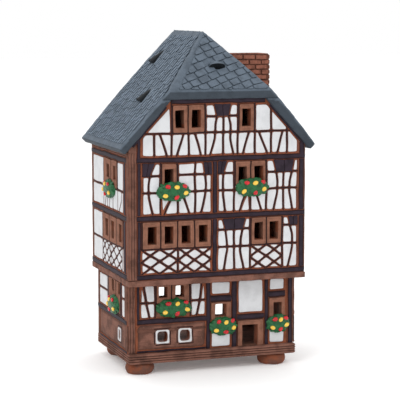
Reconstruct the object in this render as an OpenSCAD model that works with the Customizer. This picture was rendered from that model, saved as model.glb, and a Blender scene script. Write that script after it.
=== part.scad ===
/* [Upper storeys] */
// Width of the upper storeys, outside the side walls
body_w = 124.8; // [112:0.4:150]
// Depth of the upper storeys, outside the front and back walls
body_d = 91.8; // [80:0.4:112]
// Thickness of the rolled clay slabs that make the walls
wall_t = 5.5; // [4:0.1:7]

/* [Levels above the table] */
// Height of the feet
foot_h = 7.7; // [5:0.1:12]
// Thickness of the plinth, which is also the candle floor
plinth_h = 6.8; // [5:0.1:12]
// Height of the ground storey, from the plinth to the jetty
ground_h = 47.8; // [44:0.1:60]
// Height of the jetty moulding
jetty_h = 3.9; // [3:0.1:6]
// Height of the first upper storey, with its floor beam
storey_a_h = 43.3; // [38:0.1:52]
// Height of the second upper storey, up to the tie beam's top
storey_b_h = 38.2; // [34:0.1:48]

/* [Ground storey] */
// How far the ground storey stands back from the front of the jetty
front_setback = 12.2; // [8:0.1:14]
// How far the ground storey stands back from the back of the jetty
back_setback = 6; // [4:0.1:10]
// How far the ground storey stands in at each side
side_setback = 2.2; // [1:0.1:4]
// How far the plinth stands out in front of and behind the ground storey
plinth_reach = 3.9; // [2:0.1:6]
// How far the jetty moulding stands out from the upper walls
jetty_reach = 0.6; // [0.4:0.1:1.5]

/* [Candle opening in the back wall] */
// Width of the opening
hatch_w = 76; // [60:1:80]
// Height of the opening above the candle floor
hatch_h = 34; // [28:1:38]
// Radius of its upper corners
hatch_r = 10; // [4:1:16]

/* [Roof] */
// Height of the eaves' upper edge above the tie beam
eave_rise = 6.3; // [4:0.1:9]
// Height of the ridge above the eaves
roof_rise = 76; // [68:0.5:92]
// How far the eaves reach out past the side walls
eave_reach = 7; // [4:0.5:12]
// How far the front verge reaches out past the front wall
verge_reach = 3; // [2:0.5:8]
// How far the back verge reaches out past the back wall
back_reach = 4.9; // [2:0.5:8]
// Thickness of the two roof slopes
roof_t = 5.4; // [4:0.1:7]
// Thickness of the front hip
hip_t = 4.6; // [3.5:0.1:6]
// Height of the hip's lower edge above the eaves
hip_rise = 37.5; // [30:0.1:46]
// How far behind the front verge the hip meets the ridge
hip_run = 33.6; // [26:0.1:44]

/* [Roof vents] */
// Length of a vent slot
vent_l = 10; // [6:0.5:14]
// Width of a vent slot
vent_w = 3.6; // [2:0.1:5]

/* [Chimney] */
// Width of the chimney
chimney_w = 28.5; // [22:0.5:34]
// Depth of the chimney
chimney_d = 20; // [15:0.5:26]
// Brick thickness round the flue
chimney_t = 4.5; // [3:0.1:6]
// Distance from the ridge line to the chimney's near side
chimney_x = 26; // [20:0.5:30]
// Distance from the middle of the house back to the chimney's front
chimney_y = 2; // [0:0.5:12]
// How far the chimney's top stays below the ridge
chimney_drop = 16.7; // [8:0.1:22]

/* [Windows] */
// Width of an upper window
window_w = 6.2; // [4.4:0.1:7.6]
// Height of a window in the upper storeys
window_h = 11.8; // [9:0.1:13]
// Height of a window in the ground storey's window band
band_window_h = 7.6; // [6:0.1:10]
// Width and height of a cellar window
cellar_w = 7.4; // [5:0.1:9]

/* [Feet] */
// Widest diameter of a foot
foot_d = 19.6; // [14:0.2:26]
// Distance from the front left foot's axis to the plinth's side
foot_in_x = 10.2; // [9:0.1:20]
// How much further in from the side the other three feet stand
foot_stray = 4.2; // [0:0.1:8]
// Distance from a foot's axis to the plinth's front or back
foot_in_y = 10.4; // [9:0.1:20]

/* [Flower clusters] */
// Width of an upper flower cluster
flower_w = 24; // [18:0.5:28]
// Height of a flower cluster
flower_h = 13; // [10:0.5:16]
// How far a cluster stands out from its wall
flower_out = 5.4; // [3:0.1:6.4]

/* [Hidden] */
$fn = 48;
far = 400;

// levels
plinth_z = foot_h;
floor_z = plinth_z + plinth_h;
jetty_z = floor_z + ground_h;
storey_a_z = jetty_z + jetty_h;
storey_b_z = storey_a_z + storey_a_h;
gable_z = storey_b_z + storey_b_h;

// outlines seen from above, with the roof's verges centred on the origin
mid_y = (verge_reach - back_reach) / 2;
upper_x = body_w / 2;
upper_front = mid_y - body_d / 2;
upper_back = mid_y + body_d / 2;
ground_x = upper_x - side_setback;
ground_front = upper_front + front_setback;
ground_back = upper_back - back_setback;
plinth_front = ground_front - plinth_reach;
plinth_back = ground_back + plinth_reach;

// roof lines
eave_z = gable_z + eave_rise;
ridge_z = eave_z + roof_rise;
hip_z = eave_z + hip_rise;
chimney_z = ridge_z - chimney_drop;
eave_x = upper_x + eave_reach;
roof_front = upper_front - verge_reach;
roof_back = upper_back + back_reach;
slope = roof_rise / eave_x;
slope_deg = atan(slope);
slope_drop = roof_t / cos(slope_deg);
hip_slope = (ridge_z - hip_z) / hip_run;
hip_deg = atan(hip_slope);
hip_drop = hip_t / cos(hip_deg);
hip_apex_y = roof_front + hip_run;

// centre of each row's windows, measured along its wall from the middle of the house
gable_windows = [-27.3, -15.8, 19.6];
storey_b_windows = [-34.8, 17.1, 28.6];
storey_a_windows = [-46.7, -35.1, -23.1, -11.1, 28.8, 39.8];
back_a_windows = [-40, -28.5, 28.5, 40];
back_b_windows = [-34, 34];
back_gable_windows = [-6, 6];
side_b_windows = [2, -13.8];
side_a_windows = [6, -9, -28];
side_band_windows = [-1, -16.5];
side_cellar_y = -16;

// sill heights above each storey's foot
gable_sill = 19.4;
storey_b_sill = 20.7;
storey_a_sill = 24;
band_sill = 37.3;
cellar_sill = 6.6;

// front of the ground storey: centre, sill above the floor, width and height of each hole
front_holes = [
  [-35.4, band_sill, 6, band_window_h],
  [-23.5, band_sill, 5.8, band_window_h],
  [6, 21.9, 7.8, 8.6],
  [47.6, 19.2, 6, 10.2],
  [-35.7, cellar_sill, cellar_w, cellar_w + 0.4],
  [-19.7, cellar_sill, cellar_w, cellar_w + 0.4]
];
door_x = 27.3;
door_w = 11.2;
door_h = 14.7;

// flower clusters: centre, height of the middle and width
front_flowers_upper = [[-32, storey_b_z + 15.6, flower_w], [23.4, storey_b_z + 16.5, flower_w]];
front_flowers_ground = [[-27.9, floor_z + 30, 26], [7.4, floor_z + 15.1, 20.6], [47.6, floor_z + 14.4, 17]];
side_flowers = [[-4.5, storey_b_z + 14.1, flower_w], [-6, floor_z + 29.5, flower_w]];

// ---- shared shapes ----

// Height of the underside of a roof slope at distance x from the ridge line
function slope_under(x) = ridge_z - slope_drop - slope * abs(x);

// A wall slab that faces front or back, with rows of holes [centre, sill, width, height]
module long_wall(x_end, y_low, z_low, z_high, holes) {
  difference() {
    translate([-x_end, y_low, z_low]) cube([2 * x_end, wall_t, z_high - z_low]);
    for (h = holes)
      translate([h[0] - h[2] / 2, y_low - 1, h[1]]) cube([h[2], wall_t + 2, h[3]]);
  }
}

// A side wall slab between two corner posts, drawn for the left side
module side_wall(x_out, y_low, y_high, z_low, z_high, holes) {
  difference() {
    translate([-x_out, y_low, z_low]) cube([wall_t, y_high - y_low, z_high - z_low]);
    for (h = holes)
      translate([-x_out - 1, mid_y + h[0] - h[2] / 2, h[1]]) cube([wall_t + 2, h[2], h[3]]);
  }
}

// Everything below the undersides of the two slopes and of the hip, down to z_low
module under_roof(z_low) {
  half = (slope_under(0) - z_low) / slope;
  difference() {
    translate([0, far / 2, 0]) rotate([90, 0, 0]) linear_extrude(far)
      polygon([[-half, z_low], [half, z_low], [0, slope_under(0)]]);
    in_front_of_hip_underside();
  }
}

// The space above and in front of the plane of the hip's underside
module in_front_of_hip_underside() {
  z_front = hip_z - hip_drop;
  translate([-far / 2, 0, 0]) rotate([90, 0, 90]) linear_extrude(far)
    polygon([[roof_front - far, z_front - far * hip_slope], [roof_front, z_front],
             [roof_front + far, z_front + far * hip_slope], [roof_front - far, far * 2]]);
}

module foot(x, y) {
  r = foot_d / 2;
  steps = 8;
  side = [for (i = [0 : steps])
    let (a = -62 + i * 118 / steps) [r - 3.4 + 3.4 * cos(a), foot_h / 2 + foot_h * 0.56 * sin(a)]];
  color([0.60, 0.35, 0.25]) translate([x, y, 0]) intersection() {
    rotate_extrude() polygon(concat([[0, 0], [r - 3.4, 0]], side, [[r - 3.4, foot_h], [0, foot_h]]));
    cylinder(r = far, h = foot_h);
  }
}

// ---- plinth and ground storey ----

module plinth() {
  groove = 0.7;
  color([0.42, 0.28, 0.24]) difference() {
    translate([-ground_x, plinth_front, plinth_z])
      cube([2 * ground_x, plinth_back - plinth_front, plinth_h]);
    for (i = [1 : 3], y = [plinth_front, plinth_back])
      translate([-far / 2, y - groove, plinth_z + i * plinth_h / 4 - groove / 2])
        cube([far, 2 * groove, groove]);
  }
}

module ground_wall_front() {
  holes = [for (h = front_holes) [h[0], floor_z + h[1], h[2], h[3]]];
  door = [door_x, floor_z - 1, door_w, door_h + 1];
  color([0.80, 0.79, 0.77])
    long_wall(ground_x - wall_t, ground_front, floor_z, jetty_z, concat(holes, [door]));
}

module ground_wall_side() {
  band = [for (y = side_band_windows) [y, floor_z + band_sill + 0.8, 4.8, band_window_h]];
  cellar = [side_cellar_y, floor_z + cellar_sill, 5, cellar_w];
  side_wall(ground_x, ground_front + wall_t, ground_back - wall_t, floor_z, jetty_z,
            concat(band, [cellar]));
}

module ground_wall_left() {
  color([0.80, 0.79, 0.77]) ground_wall_side();
}

module ground_wall_right() {
  color([0.80, 0.79, 0.77]) mirror([1, 0, 0]) ground_wall_side();
}

module ground_pier(side) {
  color([0.42, 0.28, 0.24])
    translate([side > 0 ? hatch_w / 2 : wall_t - ground_x, ground_back - wall_t, floor_z])
      cube([ground_x - wall_t - hatch_w / 2, wall_t, ground_h]);
}

module ground_lintel_back() {
  color([0.42, 0.28, 0.24]) difference() {
    translate([-hatch_w / 2, ground_back - wall_t, floor_z + hatch_h - hatch_r])
      cube([hatch_w, wall_t, ground_h - hatch_h + hatch_r]);
    translate([0, ground_back + 1, floor_z]) rotate([90, 0, 0]) linear_extrude(wall_t + 2) {
      for (s = [-1, 1])
        translate([s * (hatch_w / 2 - hatch_r), hatch_h - hatch_r]) circle(hatch_r);
      translate([-hatch_w / 2 + hatch_r, 0]) square([hatch_w - 2 * hatch_r, hatch_h]);
      translate([-hatch_w / 2 - 1, 0]) square([hatch_w + 2, hatch_h - hatch_r]);
    }
  }
}

module ground_post(side, back) {
  color([0.45, 0.31, 0.27])
    translate([side > 0 ? ground_x - wall_t : -ground_x,
               back ? ground_back - wall_t : ground_front, floor_z])
      cube([wall_t, wall_t, ground_h]);
}

// ---- jetty ----

module jetty_long(back) {
  y_out = back ? upper_back + jetty_reach : upper_front - jetty_reach;
  y_in = back ? ground_back - wall_t : ground_front + wall_t;
  x_end = upper_x + jetty_reach;
  color([0.52, 0.35, 0.29])
    translate([-x_end, min(y_out, y_in), jetty_z]) cube([2 * x_end, abs(y_out - y_in), jetty_h]);
}

module jetty_side() {
  y_low = ground_front + wall_t;
  y_high = ground_back - wall_t;
  translate([-upper_x - jetty_reach, y_low, jetty_z])
    cube([wall_t + side_setback + jetty_reach, y_high - y_low, jetty_h]);
}

module jetty_left() {
  color([0.52, 0.35, 0.29]) jetty_side();
}

module jetty_right() {
  color([0.52, 0.35, 0.29]) mirror([1, 0, 0]) jetty_side();
}

// ---- upper storeys ----

function row(centres, sill, high = window_h) = [for (x = centres) [x, sill, window_w, high]];

module storey_a_front() {
  color([0.81, 0.80, 0.78])
    long_wall(upper_x - wall_t, upper_front, storey_a_z, storey_b_z,
              row(storey_a_windows, storey_a_z + storey_a_sill));
}

module storey_b_front() {
  color([0.81, 0.80, 0.78])
    long_wall(upper_x - wall_t, upper_front, storey_b_z, gable_z,
              row(storey_b_windows, storey_b_z + storey_b_sill, 10));
}

module gable_front() {
  color([0.81, 0.80, 0.78]) intersection() {
    long_wall(upper_x - wall_t, upper_front, gable_z, ridge_z,
              row(gable_windows, gable_z + gable_sill));
    under_roof(gable_z - 1);
  }
}

module storey_a_back() {
  color([0.81, 0.80, 0.78])
    long_wall(upper_x - wall_t, upper_back - wall_t, storey_a_z, storey_b_z,
              row(back_a_windows, storey_a_z + storey_a_sill));
}

module storey_b_back() {
  color([0.81, 0.80, 0.78])
    long_wall(upper_x - wall_t, upper_back - wall_t, storey_b_z, gable_z,
              row(back_b_windows, storey_b_z + storey_b_sill, 10));
}

module gable_back() {
  color([0.81, 0.80, 0.78]) intersection() {
    long_wall(upper_x - wall_t, upper_back - wall_t, gable_z, ridge_z,
              row(back_gable_windows, gable_z + gable_sill));
    under_roof(gable_z - 1);
  }
}

module storey_a_side() {
  side_wall(upper_x, upper_front + wall_t, upper_back - wall_t, storey_a_z, storey_b_z,
            row(side_a_windows, storey_a_z + storey_a_sill));
}

module storey_b_side() {
  intersection() {
    side_wall(upper_x, upper_front + wall_t, upper_back - wall_t, storey_b_z, ridge_z,
              row(side_b_windows, storey_b_z + storey_b_sill + 0.6, 9));
    under_roof(storey_b_z - 1);
  }
}

module storey_a_left() {
  color([0.81, 0.80, 0.78]) storey_a_side();
}

module storey_b_left() {
  color([0.81, 0.80, 0.78]) storey_b_side();
}

module storey_a_right() {
  color([0.81, 0.80, 0.78]) mirror([1, 0, 0]) storey_a_side();
}

module storey_b_right() {
  color([0.81, 0.80, 0.78]) mirror([1, 0, 0]) storey_b_side();
}

module upper_post(side, back) {
  color([0.45, 0.31, 0.27]) intersection() {
    translate([side > 0 ? upper_x - wall_t : -upper_x,
               back ? upper_back - wall_t : upper_front, storey_a_z])
      cube([wall_t, wall_t, ridge_z - storey_a_z]);
    under_roof(storey_a_z - 1);
  }
}

// ---- roof ----

// A slot through the left slope, at distance y back from the middle and drop below the ridge
module slope_vent(y, drop) {
  translate([-drop / slope, mid_y + y, ridge_z - drop]) rotate([0, -slope_deg, 0])
    translate([-vent_l / 2, -vent_w / 2, -far / 20]) cube([vent_l, vent_w, far / 10]);
}

module roof_slope() {
  difference() {
    translate([0, roof_back, 0]) rotate([90, 0, 0]) linear_extrude(roof_back - roof_front)
      polygon([[0, ridge_z], [-eave_x, eave_z],
               [-eave_x + roof_t * sin(slope_deg), eave_z - roof_t * cos(slope_deg)],
               [0, ridge_z - slope_drop]]);
    in_front_of_hip_underside();
    slope_vent(33, 19);
    slope_vent(-9, 43.5);
  }
}

module roof_left() {
  color([0.40, 0.44, 0.48]) roof_slope();
}

module roof_right() {
  color([0.40, 0.44, 0.48]) difference() {
    mirror([1, 0, 0]) roof_slope();
    flue();
  }
}

module roof_hip() {
  z_vent = ridge_z - 23;
  color([0.40, 0.44, 0.48]) difference() {
    intersection() {
      translate([-far / 2, 0, 0]) rotate([90, 0, 90]) linear_extrude(far)
        polygon([[roof_front, hip_z - hip_drop], [roof_front, hip_z], [hip_apex_y, ridge_z],
                 [hip_apex_y + hip_drop / hip_slope, ridge_z]]);
      translate([0, far / 2, 0]) rotate([90, 0, 0]) linear_extrude(far)
        polygon([[0, ridge_z], [-eave_x, eave_z], [eave_x, eave_z]]);
    }
    translate([2, roof_front + (z_vent - hip_z) / hip_slope, z_vent]) rotate([hip_deg, 0, 0])
      translate([-vent_l / 2, -vent_w / 2, -far / 20]) cube([vent_l, vent_w, far / 10]);
  }
}

// The flue, from below the slope up past the chimney's top
module flue() {
  translate([chimney_x + chimney_t, mid_y + chimney_y + chimney_t, 0])
    cube([chimney_w - 2 * chimney_t, chimney_d - 2 * chimney_t, far]);
}

module chimney() {
  color([0.55, 0.31, 0.24]) difference() {
    translate([chimney_x, mid_y + chimney_y, eave_z])
      cube([chimney_w, chimney_d, chimney_z - eave_z]);
    flue();
    translate([0, far / 2, 0]) rotate([90, 0, 0]) linear_extrude(far)
      polygon([[0, ridge_z], [eave_x, eave_z], [eave_x, 0], [0, 0]]);
  }
}

// ---- flower clusters ----

// One cluster of width w in front of the plane y = 0, with its middle at x, z
module cluster(x, z, w) {
  r = flower_h / 2;
  sunk = r - flower_out;
  reach = w / 2 - r;
  difference() {
    for (s = [-1, 0, 1])
      translate([x + s * reach, sunk, z]) sphere(r);
    translate([x - w, 0, z - w]) cube(2 * w);
  }
}

module flowers_front_upper() {
  color([0.20, 0.42, 0.26]) translate([0, upper_front, 0])
    for (f = front_flowers_upper) cluster(f[0], f[1], f[2]);
}

module flowers_front_ground() {
  color([0.20, 0.42, 0.26]) translate([0, ground_front, 0])
    for (f = front_flowers_ground) cluster(f[0], f[1], f[2]);
}

module flowers_side() {
  for (i = [0, 1])
    translate([i == 0 ? -upper_x : -ground_x, mid_y, 0]) rotate([0, 0, -90])
      cluster(-side_flowers[i][0], side_flowers[i][1], side_flowers[i][2]);
}

module flowers_left() {
  color([0.20, 0.42, 0.26]) flowers_side();
}

module flowers_right() {
  color([0.20, 0.42, 0.26]) mirror([1, 0, 0]) flowers_side();
}

foot(foot_in_x - ground_x, plinth_front + foot_in_y);  // foot_front_left
foot(ground_x - foot_in_x - foot_stray, plinth_front + foot_in_y);  // foot_front_right
foot(foot_in_x + foot_stray - ground_x, plinth_back - foot_in_y);  // foot_back_left
foot(ground_x - foot_in_x - foot_stray, plinth_back - foot_in_y);  // foot_back_right
plinth();
ground_wall_front();
ground_wall_left();
ground_wall_right();
ground_pier(-1);  // ground_pier_back_left
ground_pier(1);  // ground_pier_back_right
ground_lintel_back();
ground_post(-1, false);  // ground_post_front_left
ground_post(1, false);  // ground_post_front_right
ground_post(-1, true);  // ground_post_back_left
ground_post(1, true);  // ground_post_back_right
jetty_long(false);  // jetty_front
jetty_long(true);  // jetty_back
jetty_left();
jetty_right();
storey_a_front();
storey_b_front();
gable_front();
storey_a_back();
storey_b_back();
gable_back();
storey_a_left();
storey_b_left();
storey_a_right();
storey_b_right();
upper_post(-1, false);  // post_front_left
upper_post(1, false);  // post_front_right
upper_post(-1, true);  // post_back_left
upper_post(1, true);  // post_back_right
roof_left();
roof_right();
roof_hip();
chimney();
flowers_front_upper();
flowers_front_ground();
flowers_left();
flowers_right();
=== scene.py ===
import math
import random

import bmesh
import bpy
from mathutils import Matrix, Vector, noise
from mathutils.geometry import delaunay_2d_cdt


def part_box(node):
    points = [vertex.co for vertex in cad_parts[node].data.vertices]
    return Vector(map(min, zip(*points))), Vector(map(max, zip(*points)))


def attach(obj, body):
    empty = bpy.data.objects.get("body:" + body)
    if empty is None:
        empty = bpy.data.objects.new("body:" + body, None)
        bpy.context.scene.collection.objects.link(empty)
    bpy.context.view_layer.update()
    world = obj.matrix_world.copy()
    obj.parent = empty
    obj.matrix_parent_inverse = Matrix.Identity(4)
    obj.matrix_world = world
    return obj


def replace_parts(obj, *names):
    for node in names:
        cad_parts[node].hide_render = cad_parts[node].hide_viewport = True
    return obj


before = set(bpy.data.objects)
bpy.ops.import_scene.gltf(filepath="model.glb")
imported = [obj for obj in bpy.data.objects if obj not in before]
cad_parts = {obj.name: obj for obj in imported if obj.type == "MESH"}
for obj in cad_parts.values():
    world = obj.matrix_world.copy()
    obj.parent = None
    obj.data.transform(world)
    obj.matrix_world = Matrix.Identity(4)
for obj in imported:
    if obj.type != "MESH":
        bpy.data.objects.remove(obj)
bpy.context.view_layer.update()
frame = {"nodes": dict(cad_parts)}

bl_info = {
    "name": "Clay candle house",
    "version": (1, 0, 0),
    "blender": (4, 5, 0),
    "location": "3D View > Sidebar > Clay house",
    "description": "Glazes, pads, timbers and slates of a half-timbered clay candle house",
    "category": "Object",
}

# ---- the frame, in millimetres ----

MM = 0.001


def corners(node):
    """Lowest and highest corner of a CAD node, in millimetres."""
    low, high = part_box(node)
    return low / MM, high / MM


def outermost(node, rank):
    """The CAD node's point that ranks lowest, in millimetres."""
    return min((v.co / MM for v in frame["nodes"][node].data.vertices), key=rank)


PLINTH_LOW, PLINTH_HIGH = corners("plinth")
GROUND_LOW = corners("ground_wall_front")[0]
STOREY_A_LOW = corners("storey_a_front")[0]
STOREY_B_LOW, STOREY_B_HIGH = corners("storey_b_front")
BACK_HIGH = corners("storey_a_back")[1]
POST_LOW = corners("post_front_left")[0]
GROUND_POST_LOW = corners("ground_post_front_left")[0]
ROOF_LOW, ROOF_HIGH = corners("roof_left")
CHIMNEY_LOW, CHIMNEY_HIGH = corners("chimney")

GROUND = GROUND_LOW.z
STOREY_A = STOREY_A_LOW.z
STOREY_B = STOREY_B_LOW.z
GABLE = STOREY_B_HIGH.z
MIDDLE = (STOREY_A_LOW.y + BACK_HIGH.y) / 2
UPPER_X = -POST_LOW.x
GROUND_X = -GROUND_POST_LOW.x
EAVE_X = -ROOF_LOW.x
RIDGE = ROOF_HIGH.z
EAVE = outermost("roof_left", lambda p: (round(p.x, 2), -p.z)).z
HIP_FOOT = outermost("roof_hip", lambda p: (round(p.y, 2), -p.z)).z
HIP_APEX_Y = outermost("roof_hip", lambda p: (-round(p.z, 2), p.y)).y
VERGE_Y = ROOF_LOW.y
SLOPE = (RIDGE - EAVE) / EAVE_X
SLOPE_ANGLE = math.atan(SLOPE)
ROOF_THICK = (EAVE - ROOF_LOW.z) / math.cos(SLOPE_ANGLE)
ROOF_DROP = ROOF_THICK / math.cos(SLOPE_ANGLE)
HIP_RUN = HIP_APEX_Y - VERGE_Y
HIP_ANGLE = math.atan((RIDGE - HIP_FOOT) / HIP_RUN)


# ---- sizes and colours a user would change ----

def paint(red, green, blue):
    """A colour given as on a screen, from 0 to 255, in Blender's linear scale."""
    scaled = [c / 255 for c in (red, green, blue)]
    return [c / 12.92 if c < 0.04045 else ((c + 0.055) / 1.055) ** 2.4 for c in scaled]


def length(name, description, default):
    return bpy.props.FloatProperty(
        name=name, description=description, default=default * MM, min=0, unit="LENGTH"
    )


def colour(name, description, red, green, blue):
    return bpy.props.FloatVectorProperty(
        name=name, description=description, default=paint(red, green, blue),
        size=3, min=0, max=1, subtype="COLOR",
    )


class ClaySizes(bpy.types.PropertyGroup):
    thin_timber: length("Thin timber", "Width of a painted post, rail or brace", 1.15)
    pad_gap: length("Pad gap", "From the middle of a thin timber to the white pad beside it", 0.82)
    pad_height: length("Pad height", "How far a white pad stands out from the bare clay", 0.62)
    beam_height: length("Beam height", "How far a wide beam stands out from the bare clay", 0.8)
    waver: length("Waver", "How far hand-laid lines stray from straight", 0.42)
    slate_gap: length("Slate gap", "Half the width of the groove between two slates", 0.36)
    slate_height: length("Slate height", "How far the lower edge of a slate stands out", 0.75)
    brick_gap: length("Brick gap", "Half the width of the joint between two bricks", 0.42)


class ClayColours(bpy.types.PropertyGroup):
    terracotta: colour("Terracotta", "Bare fired clay", 142, 82, 58)
    stain: colour("Stain", "Brown stained clay of posts, jetty and plinth", 116, 80, 68)
    frame: colour("Window frames", "Thinly stained clay round the windows", 136, 93, 75)
    timber: colour("Timber", "Purple brown timber paint", 47, 37, 47)
    white: colour("White", "Thick white engobe of the infill pads", 205, 206, 208)
    slate: colour("Slate", "Blue grey engobe of the roof", 95, 106, 118)
    brick: colour("Brick", "Chimney bricks", 150, 96, 78)
    leaf: colour("Leaf", "Green glaze of the flower clusters", 32, 94, 54)
    red: colour("Red flower", "Red glaze drops", 204, 10, 26)
    yellow: colour("Yellow flower", "Yellow glaze drops", 234, 196, 70)


class ClayStudio(bpy.types.PropertyGroup):
    azimuth: bpy.props.FloatProperty(
        name="Azimuth", description="Camera's turn round the house",
        default=math.radians(-18.88), subtype="ANGLE", unit="ROTATION",
    )
    elevation: bpy.props.FloatProperty(
        name="Elevation", description="Camera's height above the horizon",
        default=math.radians(7.05), subtype="ANGLE", unit="ROTATION",
    )
    distance: length("Distance", "From the camera to the house", 1103)
    lens: bpy.props.FloatProperty(name="Lens", description="Focal length", default=142.3)
    floor: colour("Floor", "Plain pale floor", 252, 252, 252)


# ---- flat sides, and the mesh that lies on them ----

# Seed of the noise by which hand-laid lines stray, and the length of its waves
STRAY_SEED = 4
STRAY_WAVE = 9
STRAY_SHIFT = 50

# How far each hand-bent slope swells past a flat slab
BULGE_LEFT = 1.7
BULGE_RIGHT = 2.6
LEAST_SHARE = 0.02


def bulged(place):
    """Where the hand-bent roof, fuller than flat slabs, takes a place in millimetres."""
    share = min(1, max(LEAST_SHARE, (RIDGE - place.z) / (RIDGE - EAVE)))
    bulge = BULGE_RIGHT if place.x > 0 else BULGE_LEFT * (place.y - VERGE_Y) / (-2 * VERGE_Y)
    above = (place.z - RIDGE + ROOF_DROP + SLOPE * abs(place.x)) / ROOF_DROP
    full = min(1, max(0, above))
    stretch = 1 + full * bulge * math.sin(math.pi * share) / (EAVE_X * share)
    return Vector((place.x * stretch, place.y, place.z))


class Side:
    """A flat side of the house. A place on it is so far along, so far up and so far out."""

    def __init__(self, origin, along, up, out, warp=None):
        self.warp = warp
        self.origin = Vector(origin)
        self.along = Vector(along)
        self.up = Vector(up)
        self.out = Vector(out)
        self.mirrored = self.along.cross(self.up).dot(self.out) < 0

    def at(self, u, v, h=0):
        """The point there, in metres, strayed as by hand and warped."""
        wave = Vector((u / STRAY_WAVE, v / STRAY_WAVE, self.origin.length / STRAY_SHIFT))
        stray = noise.noise_vector(wave) * (bpy.context.scene.clay_sizes.waver / MM)
        place = self.origin + self.along * (u + stray.x) + self.up * (v + stray.y) + self.out * h
        return (self.warp(place) if self.warp else place) * MM


X, Y, Z = Vector((1, 0, 0)), Vector((0, 1, 0)), Vector((0, 0, 1))
FRONT = Side((0, STOREY_A_LOW.y, 0), X, Z, -Y)
BACK = Side((0, BACK_HIGH.y, 0), X, Z, Y)
LEFT = Side((-UPPER_X, MIDDLE, 0), Y, Z, -X)
RIGHT = Side((UPPER_X, MIDDLE, 0), Y, Z, X)
GROUND_FRONT = Side((0, GROUND_LOW.y, 0), X, Z, -Y)
GROUND_LEFT = Side((-GROUND_X, MIDDLE, 0), Y, Z, -X)
GROUND_RIGHT = Side((GROUND_X, MIDDLE, 0), Y, Z, X)
SLOPE_UP = Vector((math.cos(SLOPE_ANGLE), 0, math.sin(SLOPE_ANGLE)))
SLOPE_OUT = Vector((-math.sin(SLOPE_ANGLE), 0, math.cos(SLOPE_ANGLE)))
FLIP = Vector((-1, 1, 1))
ROOF_LEFT = Side((-EAVE_X, 0, EAVE), Y, SLOPE_UP, SLOPE_OUT, bulged)
ROOF_RIGHT = Side((EAVE_X, 0, EAVE), Y, SLOPE_UP * FLIP, SLOPE_OUT * FLIP, bulged)
HIP = Side(
    (0, VERGE_Y, HIP_FOOT), X,
    (0, math.cos(HIP_ANGLE), math.sin(HIP_ANGLE)),
    (0, -math.sin(HIP_ANGLE), math.cos(HIP_ANGLE)),
    bulged,
)


class Lump:
    """Gathers rings and faces of soft clay, then makes one piece of them."""

    def __init__(self, side=None):
        self.side = side
        self.points = []
        self.faces = []
        self.lines = []

    def ring(self, outline, h, line=0.0, lean=(0, 0)):
        """Points on the side over an outline, h out of it, painted with so much line colour."""
        first = len(self.points)
        middle = centre(outline)
        for p in outline:
            rise = (p[0] - middle[0]) * lean[0] + (p[1] - middle[1]) * lean[1]
            self.points.append(self.side.at(p[0], p[1], h + rise))
            self.lines.append(line)
        return list(range(first, first + len(outline)))

    def loose(self, points, line=0.0):
        """Points given in metres."""
        first = len(self.points)
        self.points += [Vector(p) for p in points]
        self.lines += [line] * len(points)
        return list(range(first, first + len(points)))

    def face(self, corner_list):
        turned = self.side is not None and self.side.mirrored
        self.faces.append(list(reversed(corner_list)) if turned else list(corner_list))

    def join(self, outer, inner, closed=True):
        count = len(outer)
        for i in range(count if closed else count - 1):
            k = (i + 1) % count
            self.face([outer[i], outer[k], inner[k], inner[i]])

    def piece(self, name, material, slot, flat_angle=50):
        mesh = bpy.data.meshes.new(name)
        mesh.from_pydata(self.points, [], self.faces)
        attribute = mesh.attributes.new("line", "FLOAT", "POINT")
        attribute.data.foreach_set("value", self.lines)
        return shown(name, mesh, material, flat_angle)


def shown(name, mesh, material, flat_angle=50):
    """Puts a mesh in the scene as a piece of the house."""
    mesh.validate()
    mesh.polygons.foreach_set("use_smooth", [True] * len(mesh.polygons))
    mesh.set_sharp_from_angle(angle=math.radians(flat_angle))
    mesh.materials.clear()
    mesh.materials.append(material)
    made = bpy.data.objects.new(name, mesh)
    bpy.context.collection.objects.link(made)
    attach(made, "root")
    return made


# ---- outlines ----

def centre(outline):
    return [sum(p[k] for p in outline) / len(outline) for k in (0, 1)]


def rectangle(u0, v0, u1, v1):
    return [(u0, v0), (u1, v0), (u1, v1), (u0, v1)]


def area(outline):
    pairs = zip(outline, outline[1:] + outline[:1])
    return sum(a[0] * b[1] - b[0] * a[1] for a, b in pairs) / 2


def inside(spot, outline):
    """True where a spot lies in an outline."""
    hit = False
    for a, b in zip(outline, outline[1:] + outline[:1]):
        if (a[1] > spot[1]) != (b[1] > spot[1]):
            if spot[0] < a[0] + (b[0] - a[0]) * (spot[1] - a[1]) / (b[1] - a[1]):
                hit = not hit
    return hit


def straightened(outline, least_turn=0.06):
    """Leaves out the corners at which an outline hardly turns."""
    kept = []
    for i, b in enumerate(outline):
        before = Vector(b) - Vector(outline[i - 1])
        after = Vector(outline[(i + 1) % len(outline)]) - Vector(b)
        if before.length < 0.05:
            continue
        if after.length < 0.05 or abs(before.angle(after)) > least_turn:
            kept.append(b)
    return kept


def moved_in(outline, gap):
    """The outline with each edge moved in by a gap, corner for corner."""
    moved = []
    for i, corner in enumerate(outline):
        b = Vector(corner)
        before = (b - Vector(outline[i - 1])).normalized()
        after = (Vector(outline[(i + 1) % len(outline)]) - b).normalized()
        n1 = Vector((-before.y, before.x))
        n2 = Vector((-after.y, after.x))
        moved.append(tuple(b + (n1 + n2) * gap / max(0.12, 1 + n1.dot(n2))))
    return moved


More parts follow.
